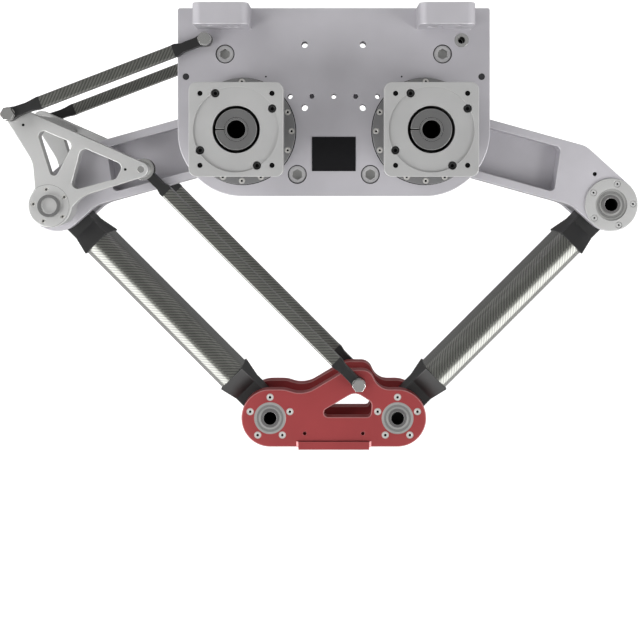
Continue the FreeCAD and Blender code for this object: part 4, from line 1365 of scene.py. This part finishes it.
@dataclass
class Platform(Assembly):
    """The red platform with its bearings and tool block."""

    stub_floor: float = 12 * MM
    lip_depth: float = 3 * MM
    lip_height: float = 11.5 * MM
    lip_edge: float = 0.6 * MM
    end_depth: float = 2.85 * MM
    end_chamfer: float = 2.8 * MM

    def build(self) -> None:
        """Build the platform's pieces."""
        finishes = self.finishes
        middle = self.pivots.at("left_platform_swing").y
        self.mill(finishes.red, "platform", "platform_front_plate", "platform_rear_plate",
                  chamfer=1.3 * MM)
        self.mill(finishes.red, "platform", "tool_block", chamfer=1 * MM)
        Bearing("platform_bearings", "platform").build(finishes)
        ScrewSet("platform_bearing_screws", "platform", finishes.screw, finishes.hole,
                 socket_share=0.42, middle=middle).build()
        # The shafts' bore walls and the discs deep in them are black painted shade.
        shafts = (("left_platform_shaft", "left_platform_pivot", PIVOT_FLOOR),
                  ("right_platform_stubs", "platform", self.stub_floor),
                  ("right_platform_core", "right_lower", 0.0))
        for node, body, _ in shafts:
            self.mill(finishes.shaft, body, node, chamfer=0.6 * MM, bore=PIVOT_BORE,
                      dark=finishes.hole)
        for node, body, floor in shafts[:2]:
            DarkBore.in_node(node, body, finishes.hole, floor).build()
        self.lip()
        self.mill(finishes.pin, "platform", "rod_pivot_spacers", chamfer=0.4 * MM)
        BoltSet("rod_pivot_bolt", "platform", finishes.steel, middle, both_ends=True).build()
        BoltSet("anchor_bolts", "frame", finishes.steel, middle).build()

    def lip(self) -> None:
        """Add the tool block's front lip, with two pale ends, over the front plate's lower edge.
        The lip's chamfers in the red edge finish and the ends' large chamfers in pale pink are a
        painted highlight.
        """
        low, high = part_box("tool_block")
        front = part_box("platform_front_plate")[0]
        work = bmesh.new()
        top = low.z + self.lip_height
        for spread, bottom, depth, chamfer, material in (
                (0.0, low.z, self.lip_depth, self.lip_edge, 1),
                (2 * self.end_depth, front.z, self.end_depth, self.end_chamfer, 2)):
            made = bmesh.ops.create_cube(work, size=1.0)["verts"]
            bmesh.ops.scale(work, vec=(high.x - low.x + spread, depth, top - bottom), verts=made)
            middle = Vector(((low.x + high.x) / 2, front.y - depth / 2, (top + bottom) / 2))
            bmesh.ops.translate(work, vec=middle, verts=made)
            proud = {vertex for vertex in made if vertex.co.y < front.y - depth / 2}
            chosen = [edge for edge in work.edges if proud.issuperset(edge.verts)
                      and (not spread or abs(edge.verts[0].co.x - edge.verts[1].co.x) < NEAR)]
            for item in bevel(work, chosen, chamfer, segments=1):
                item.material_index = material
        red = self.finishes.red
        add_piece(work, "tool_block_lip", "platform", "red_anodised", red.main, red.edge,
                  self.finishes.pink)


@dataclass
class Studio:
    """Pale floor and backdrop, soft lights and the camera.

    A light's row holds its place, its side and its watts. A fade is a range of the world's
    direction, from -1 to 1. The camera's axis meets the photograph at axis_x and axis_y pixels.
    """

    shoulder: Vector
    camera_distance: float = 1.470
    camera_drop: float = 39.2 * MM
    focal_pixels: float = 1073.0
    sensor: float = 36.0
    frame_pixels: float = 640.0
    axis_x: float = 333.8
    axis_y: float = 160.0
    floor_width: float = 14.0
    floor_length: float = 9.0
    floor_drop: float = 0.9
    floor_tone: float = 0.9
    floor_glow: float = 0.35
    wall_behind: float = 2.4
    wall_height: float = 6.0
    wall_bend: float = 1.4
    bend_steps: int = 24
    dim_front: float = 0.35
    dim_above: float = 0.45
    dim_behind: float = 0.2
    front_fade: tuple = (-1.0, -0.2)
    above_fade: tuple = (-0.2, 0.8)
    behind_fade: tuple = (0.55, 0.9)
    aim: tuple = (0.0, 0.07, -0.3)
    key_light: tuple = ((-1.7, -2.2, 0.9), 1.6, 32.0)
    low_left_light: tuple = ((-1.75, -1.1, -1.6), 2.3, 76.0)
    low_right_light: tuple = ((1.75, -1.1, -1.6), 2.3, 76.0)

    def build(self) -> None:
        """Build the studio."""
        self.backdrop()
        self.world()
        self.light("key_light", *self.key_light, mirrored=False)
        self.light("low_left_light", *self.low_left_light)
        self.light("low_right_light", *self.low_right_light)
        self.camera()

    def backdrop(self) -> None:
        """Make a floor that curves up into a wall, and that no gloss mirrors."""
        work = bmesh.new()
        bmesh.ops.create_grid(work, x_segments=1, y_segments=1, size=0.5)
        bmesh.ops.scale(work, vec=(self.floor_width, self.floor_length, 1.0), verts=work.verts)
        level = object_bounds()[0][2] - self.floor_drop
        middle = (0.0, self.wall_behind - self.floor_length / 2, level)
        bmesh.ops.translate(work, vec=middle, verts=work.verts)
        back = [edge for edge in work.edges
                if all(vertex.co.y > self.wall_behind - NEAR for vertex in edge.verts)]
        made = bmesh.ops.extrude_edge_only(work, edges=back)["geom"]
        raised = [item for item in made if isinstance(item, BMVert)]
        bmesh.ops.translate(work, vec=(0.0, 0.0, self.wall_height), verts=raised)
        fold = [edge for edge in work.edges if len(edge.link_faces) == 2]
        bevel(work, fold, self.wall_bend, self.bend_steps)
        bmesh.ops.recalc_face_normals(work, faces=work.faces)
        graph = Surface("pale_floor")
        graph.feed(Base_Color=(*[self.floor_tone] * 3, 1.0), Roughness=0.9,
                   Emission_Color=WHITE, Emission_Strength=self.floor_glow)
        floor = mesh_object(work, "floor", graph.material, crease=60.0)
        floor.visible_glossy = False
        floor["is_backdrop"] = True

    def world(self) -> None:
        """Light softly: bright at the sides and below, dimmer in front, above and behind."""
        world = bpy.data.worlds.new("studio")
        bpy.context.scene.world = world
        world.use_nodes = True
        graph = Graph(world.node_tree)
        apart = graph.split(graph.add("ShaderNodeTexCoord").outputs["Generated"])
        front = graph.span(apart["Y"], self.dim_front, 1.0, *self.front_fade, "SMOOTHSTEP")
        above = graph.span(apart["Z"], 1.0, self.dim_above, *self.above_fade)
        behind = graph.span(apart["Y"], 1.0, self.dim_behind, *self.behind_fade, "SMOOTHSTEP")
        level = graph.math("MULTIPLY", graph.math("MULTIPLY", front, above), behind)
        back = world.node_tree.nodes["Background"]
        graph.put(level, back.inputs["Strength"])
        graph.put(WHITE, back.inputs["Color"])

    def light(self, name: str, place: tuple, size: float, power: float,
              mirrored: bool = True) -> None:
        """Hang a large soft light.

        Args:
            name: Its name.
            place: Where it hangs.
            size: Its side.
            power: Its power in watts.
            mirrored: Whether glossy faces mirror it.
        """
        data = bpy.data.lights.new(name, "AREA")
        data.size = size
        data.energy = power
        lamp = bpy.data.objects.new(name, data)
        lamp.location = place
        lamp.visible_glossy = mirrored
        ray = Vector(self.aim) - Vector(place)
        lamp.rotation_euler = ray.to_track_quat("-Z", "Y").to_euler()
        bpy.context.scene.collection.objects.link(lamp)

    def camera(self) -> None:
        """Set the camera straight in front, with the frame moved to the photograph's."""
        data = bpy.data.cameras.new("camera")
        data.sensor_width = self.sensor
        data.lens = self.focal_pixels / self.frame_pixels * self.sensor
        half = self.frame_pixels / 2
        data.shift_x = (half - self.axis_x) / self.frame_pixels
        data.shift_y = (self.axis_y - half) / self.frame_pixels
        camera = bpy.data.objects.new("camera", data)
        camera.location = (0.0, plate_face() - self.camera_distance,
                           self.shoulder.z - self.camera_drop)
        camera.rotation_euler = (math.pi / 2, 0.0, 0.0)
        bpy.context.scene.collection.objects.link(camera)
        bpy.context.scene.camera = camera
        bpy.context.scene.view_settings.view_transform = "Standard"


def main() -> None:
    """Load the frame, dress the robot and set the studio."""
    logging.basicConfig(level=logging.INFO, format="%(message)s")
    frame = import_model()
    pivots = Pivots.read(frame)
    finishes = Finishes()
    FrameAssembly(finishes, pivots).build()
    for side in Side:
        Drive(finishes, pivots, side).build()
    for assembly in (Arms, Rods, Rocker, Platform):
        assembly(finishes, pivots).build()
    Studio(pivots.at("left_drive")).build()
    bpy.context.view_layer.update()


if __name__ == "__main__":
    main()
